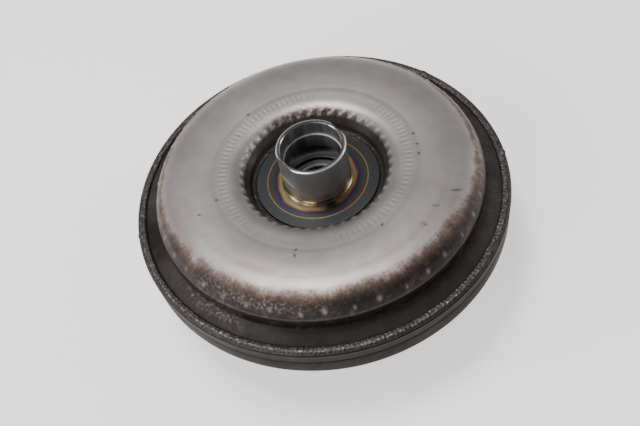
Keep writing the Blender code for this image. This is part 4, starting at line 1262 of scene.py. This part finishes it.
def friction_lining(paper):
    """A flat ring whose face has a round groove and a set of radial ones, as bell-shaped dents."""
    corners = [(78.0, -42.0, 0.1), (93.0, -42.0, 0.1), (93.0, -43.2, 0.3), (78.0, -43.2, 0.3)]
    line = refined(rounded(corners, 3), 0.8)
    angles = even_turn(480)
    share = (angles * 24 / FULL_TURN % 1.0 - 0.5) * 22.4
    r, z = line[None, :, 0], line[None, :, 1]
    face = (z < -43.15) * ramp(r, 78.2, 79.0) * ramp(92.8 - r, 0, 0.8)
    depth = 0.5 * np.maximum(bump(share, 0.7)[:, None], bump(r - 85.5, 0.7)) * face
    Solid().add(turned_grid(line, angles, -depth)).finish(
        "friction_lining_ring", "piston", ["friction_lining"], paper, "friction_paper", 40)


# The stator and its one-way clutch.


def stator_inner_race(steel):
    """The stepped race with a toothed bore for the fixed support shaft."""
    corners = [(13.2, 2.0, 0.4), (19.4, 2.0, 0.5), (19.4, -1.9, 0.2), (26.0, -1.9, 0.4), (26.0, -11.9, 0.4),
               (19.4, -11.9, 0.2), (19.4, -15.5, 0.4), (13.2, -15.5, 0.4)]
    angles = even_turn(288)
    grid = turned_grid(refined(rounded(corners, 4), 1.5), angles)
    grid = reshape(grid, 0.0, 13.5, splined(angles, 13.2, 14.4, 24))
    radius = np.hypot(grid[..., 0], grid[..., 1])
    # Painted highlight: the top face is lightened, most along two rings near its edges.
    ridges = 0.35 + 0.65 * (bump(radius - 14.9, 0.35) + bump(radius - 18.2, 0.5))
    values = {"bright": np.clip(ridges, 0, 1) * (grid[..., 2] > 1.2)}
    solid = Solid().add(grid, values=values)
    solid.finish("stator_inner_race_ring", "stator_race", ["stator_inner_race"], steel, "ground_steel", 28)


def blade_section(count=40):
    """A cambered blade, from its blunt nose above to its thin tail below: half the thickness is added
    either side of a curved middle line."""
    t = (1 - np.cos(np.linspace(0, np.pi, count // 2))) / 2
    middle = through([(-3.9, 1.5), (-0.6, -0.2), (1.6, -4.6), (3.8, -9.5)], 8)
    at = t * (len(middle) - 1)
    x = np.interp(at, np.arange(len(middle)), middle[:, 0])
    y = np.interp(at, np.arange(len(middle)), middle[:, 1])
    line = np.stack([x, y], 1)
    half = 1.35 * np.sqrt(np.clip(t, 0, 1)) * (1 - t) ** 0.8 * 1.6 + 0.18 * (t > 0) * (t < 1)
    side = line_normals(line, closed=False) * half[:, None]
    return np.concatenate([line + side, (line - side)[::-1][1:-1]])


def stator_wheel(metal):
    """The cast wheel: a hub, cambered blades that lean a little, and a ring round them."""
    hub = [(40.0, -0.3, 0.3), (44.0, -0.3, 0.6), (44.0, 2.5, 0.6), (47.0, 2.5, 0.8), (47.0, -10.0, 1.5),
           (44.0, -14.7, 0.8), (40.0, -14.7, 0.4)]
    wheel = turned(hub, 180, step=3.0)
    rim = [(61.7, 2.5, 0.6), (63.8, 2.5, 0.6), (63.8, -10.0, 0.6), (61.7, -10.0, 0.6)]
    turned(rim, 180, step=3.0, solid=wheel)
    section = blade_section()
    stations = np.linspace(46.4, 62.2, 9)
    swell = 1.0 + 0.06 * bump(stations - 46.4, 1.0) + 0.06 * bump(stations - 62.2, 1.0)
    rows = []
    for r, k in zip(stations, swell):
        across = section[:, 0] * k * (0.9 + 0.1 * r / 54)
        rows.append(np.stack([np.full(len(section), r), across, section[:, 1]], -1))
    blade = capped(np.stack(rows))
    for i in range(BLADES):
        wheel.add(turn_about_z(blade, i * FULL_TURN / BLADES), False, True)
    wheel.finish("stator_wheel_casting", "stator", ["stator_wheel"], metal, "cast_aluminium", 40)


def cam_radius(angles):
    """Inside radius of the outer race: six pockets, deep at their middle and ramped on one side."""
    turn = (np.degrees(angles) + 30) % 60 - 30
    stops = [-30, -8.6, -8.0, -3, 5, 17, 17.6, 30]
    return np.interp(turn, stops, [26.8, 26.8, 31.5, 33.2, 33.2, 31.8, 26.8, 26.8])


def one_way_clutch(machined, spring):
    """The outer race with its cam pockets, six rollers with rounded ends, their folded springs and a snap
    ring.
    """
    angles = even_turn(720)
    line = refined(rounded([(26.8, -1.6), (39.6, -1.6, 0.4), (39.6, -12.2, 0.4), (26.8, -12.2)], 3), 5.0)
    grid = reshape(turned_grid(line, angles), 0.0, 27.5, cam_radius(angles))
    solid = Solid().add(grid)
    solid.finish("stator_outer_race_ring", "stator", ["stator_outer_race"], machined, "ground_steel", 28)
    roller = [(0.0, -2.2), (2.6, -2.2, 0.2), (3.0, -2.6, 0.2), (3.0, -11.2, 0.2), (2.6, -11.6, 0.2),
              (0.0, -11.6)]
    folds = through([(28.0, 3.7), (29.7, 4.2), (30.0, 4.75), (28.3, 5.25), (28.3, 5.7), (30.0, 6.2),
                     (29.9, 6.75), (28.0, 7.6)], 6)
    path = np.column_stack([folds, np.full(len(folds), -6.9)])
    leaf = rounded([(-0.2, -4.3), (0.2, -4.3), (0.2, 4.3), (-0.2, 4.3)], 1)
    strip = swept(path, leaf, up=(0.0, 0.0, 1.0))
    for i in range(6):
        place = polar(29.2, 60.0 * i)
        node = f"clutch_roller_{i + 1}"
        pin = turned(roller, 48, place, 3.0, 3)
        pin.finish(node + "_pin", f"roller_{i + 1}", [node], machined, "ground_steel", 30)
        node = f"roller_spring_{i + 1}"
        leaves = Solid().add(turn_about_z(strip, math.radians(60 * i)), False, True)
        leaves.finish(node + "_strip", "stator", [node], spring, "spring_steel", 35)
    sweep = np.radians(np.linspace(-174, 174, 181))
    path = np.stack([38.3 * np.cos(sweep), 38.3 * np.sin(sweep), np.full(len(sweep), -14.25)], axis=1)
    section = rounded([(-1.3, -0.45, 0.2), (1.3, -0.45, 0.2), (1.3, 0.45, 0.2), (-1.3, 0.45, 0.2)], 2)
    ring = swept(path, section, up=(0.0, 0.0, 1.0))
    Solid().add(ring, False, True).finish(
        "stator_snap_ring_wire", "stator", ["stator_snap_ring"], spring, "spring_steel", 35)


def inner_works():
    """Every piece inside the housing, and those fixed to its underside."""
    pressed, cast, spring = pressed_steel(), cast_aluminium(), spring_steel()
    paper, polymer, machined = friction_paper(), seal_polymer(), machined_steel()
    bead = weld_metal("pilot_bead", (0.22, 0.21, 0.20))
    pilot_boss(machined)
    pilot_weld(bead)
    drive_lugs(machined)
    balance_weights(bead)
    ring_pieces({"polymer": polymer, "machined": machined, "spring": spring})
    needle_bearing("rear_bearing_cage", "rear_cage", 22.5, 37.0, 0.0, 1.6, 36, spring, machined)
    needle_bearing("front_bearing_cage", "front_cage", 22.5, 36.4, -16.2, -13.8, 28, spring, machined)
    pump_vane_ring(pressed)
    turbine_vane_ring(pressed)
    turbine_shell(pressed)
    turbine_hub(machined)
    rivets = [f"turbine_rivet_{i + 1}" for i in range(6)]
    headed_pins(rivets, "turbine", 47.5, 0.0, 2.2, 3.2, -22.6, -14.9, 0.75, spring)
    pins = [f"damper_pin_{i + 1}" for i in range(4)]
    headed_pins(pins, "damper_drive", 68.5, 0.0, 2.0, 3.4, -35.7, -24.3, 0.9, spring)
    damper_plates(pressed)
    damper_springs(spring)
    lockup_piston(pressed)
    friction_lining(paper)
    stator_inner_race(machined)
    stator_wheel(cast)
    one_way_clutch(machined, spring)


# Floor, light and camera.


FLOOR_HALF = 8.0
FLOOR_COLOUR = (0.94, 0.94, 0.94)
FLOOR_GLOW = 0.75


def floor_paper():
    """Pale matt paper with faint clouds and a glow that keeps it light."""
    f = Finish("floor_paper", 0.0, 0.9)
    f.shader.inputs["Emission Color"].default_value = (1.0, 1.0, 1.0, 1.0)
    f.shader.inputs["Emission Strength"].default_value = FLOOR_GLOW
    clouds = f.span(f.noise(400, 2), 0.3, 0.7)
    return f.done(f.mixed(clouds, FLOOR_COLOUR, tuple(0.985 * c for c in FLOOR_COLOUR)))


SKY_FADE = (0.0, 0.55, 0.8, 0.16)  # from the horizon up to this rise, from this strength to that


def sky():
    """An even studio sky: pale at the horizon and darker overhead."""
    world = bpy.data.worlds.new("studio")
    world.use_nodes = True
    nodes, links = world.node_tree.nodes, world.node_tree.links
    split = nodes.new("ShaderNodeSeparateXYZ")
    links.new(nodes.new("ShaderNodeTexCoord").outputs["Generated"], split.inputs[0])
    fade = nodes.new("ShaderNodeMapRange")
    links.new(split.outputs["Z"], fade.inputs["Value"])
    for socket, value in zip(fade.inputs[1:5], SKY_FADE):
        socket.default_value = value
    links.new(fade.outputs[0], nodes["Background"].inputs["Strength"])
    nodes["Background"].inputs["Color"].default_value = (1.0, 1.0, 1.0, 1.0)
    bpy.context.scene.world = world


LIGHTS = (  # name, place and size in metres, power in watts
    ("overhead", (-0.20, 0.18, 1.30), (0.5, 0.42), 11.5),
    ("left", (-1.5, 0.0, 0.75), (0.5, 1.2), 8.0),
    ("right", (1.5, 0.2, 0.7), (0.4, 1.2), 6.0),
    ("front", (-1.2, -1.25, 1.0), (1.4, 0.45), 19.0),
)


def studio():
    """A pale floor and four soft lights round the camera's side."""
    h = FLOOR_HALF
    mesh = bpy.data.meshes.new("floor")
    mesh.from_pydata([(-h, -h, 0), (h, -h, 0), (h, h, 0), (-h, h, 0)], [], [(0, 1, 2, 3)])
    mesh.materials.append(floor_paper())
    floor = bpy.data.objects.new("floor", mesh)
    bpy.context.scene.collection.objects.link(floor)
    turn = Matrix.Rotation(math.radians(FIT_TURN), 3, "Z")
    for name, place, size, power in LIGHTS:
        light = bpy.data.lights.new(name, "AREA")
        light.shape = "RECTANGLE"
        light.size, light.size_y = size
        light.energy = power
        obj = bpy.data.objects.new(name, light)
        obj.location = turn @ Vector(place)
        obj.rotation_euler = (Vector((0, 0, RIM * MM)) - obj.location).to_track_quat("-Z", "Y").to_euler()
        bpy.context.scene.collection.objects.link(obj)


CAMERA_DISTANCE = 466.87
CAMERA_ELEVATION = 53.15
CAMERA_ROLL = -13.46
CAMERA_SHIFT = (-3.88, -18.54)
CAMERA_LENS = 40.5


def camera():
    """A camera looking down at the hub, a little rolled, whose axes are worked out from three angles."""
    rise, roll = math.radians(CAMERA_ELEVATION), math.radians(CAMERA_ROLL)
    back = Vector((0, -math.cos(rise), math.sin(rise)))
    right, up = Vector((1, 0, 0)), Vector((0, math.sin(rise), math.cos(rise)))
    turn = Matrix.Rotation(math.radians(FIT_TURN), 3, "Z")
    place = back * CAMERA_DISTANCE + right * CAMERA_SHIFT[0] + up * CAMERA_SHIFT[1]
    x_way = turn @ (math.cos(roll) * right + math.sin(roll) * up)
    y_way = turn @ (math.cos(roll) * up - math.sin(roll) * right)
    z_way = turn @ back
    place = (turn @ place + Vector((0, 0, RIM))) * MM
    lens = bpy.data.cameras.new("camera")
    lens.lens = CAMERA_LENS
    lens.sensor_width = 36.0
    lens.clip_start = 0.01
    eye = bpy.data.objects.new("camera", lens)
    rows = [[x_way[i], y_way[i], z_way[i], place[i]] for i in range(3)]
    eye.matrix_world = Matrix(rows + [[0, 0, 0, 1]])
    bpy.context.scene.collection.objects.link(eye)
    bpy.context.scene.camera = eye


def build():
    """The whole object, and the studio round it."""
    pump_shell(shell_steel())
    pump_hub(hub_steel())
    hub_weld(weld_metal("hub_bead", (0.15, 0.14, 0.135)))
    closing_weld(weld_metal("rim_bead", (0.24, 0.23, 0.225)))
    front_cover(cover_steel())
    inner_works()
    sky()
    studio()
    camera()


build()
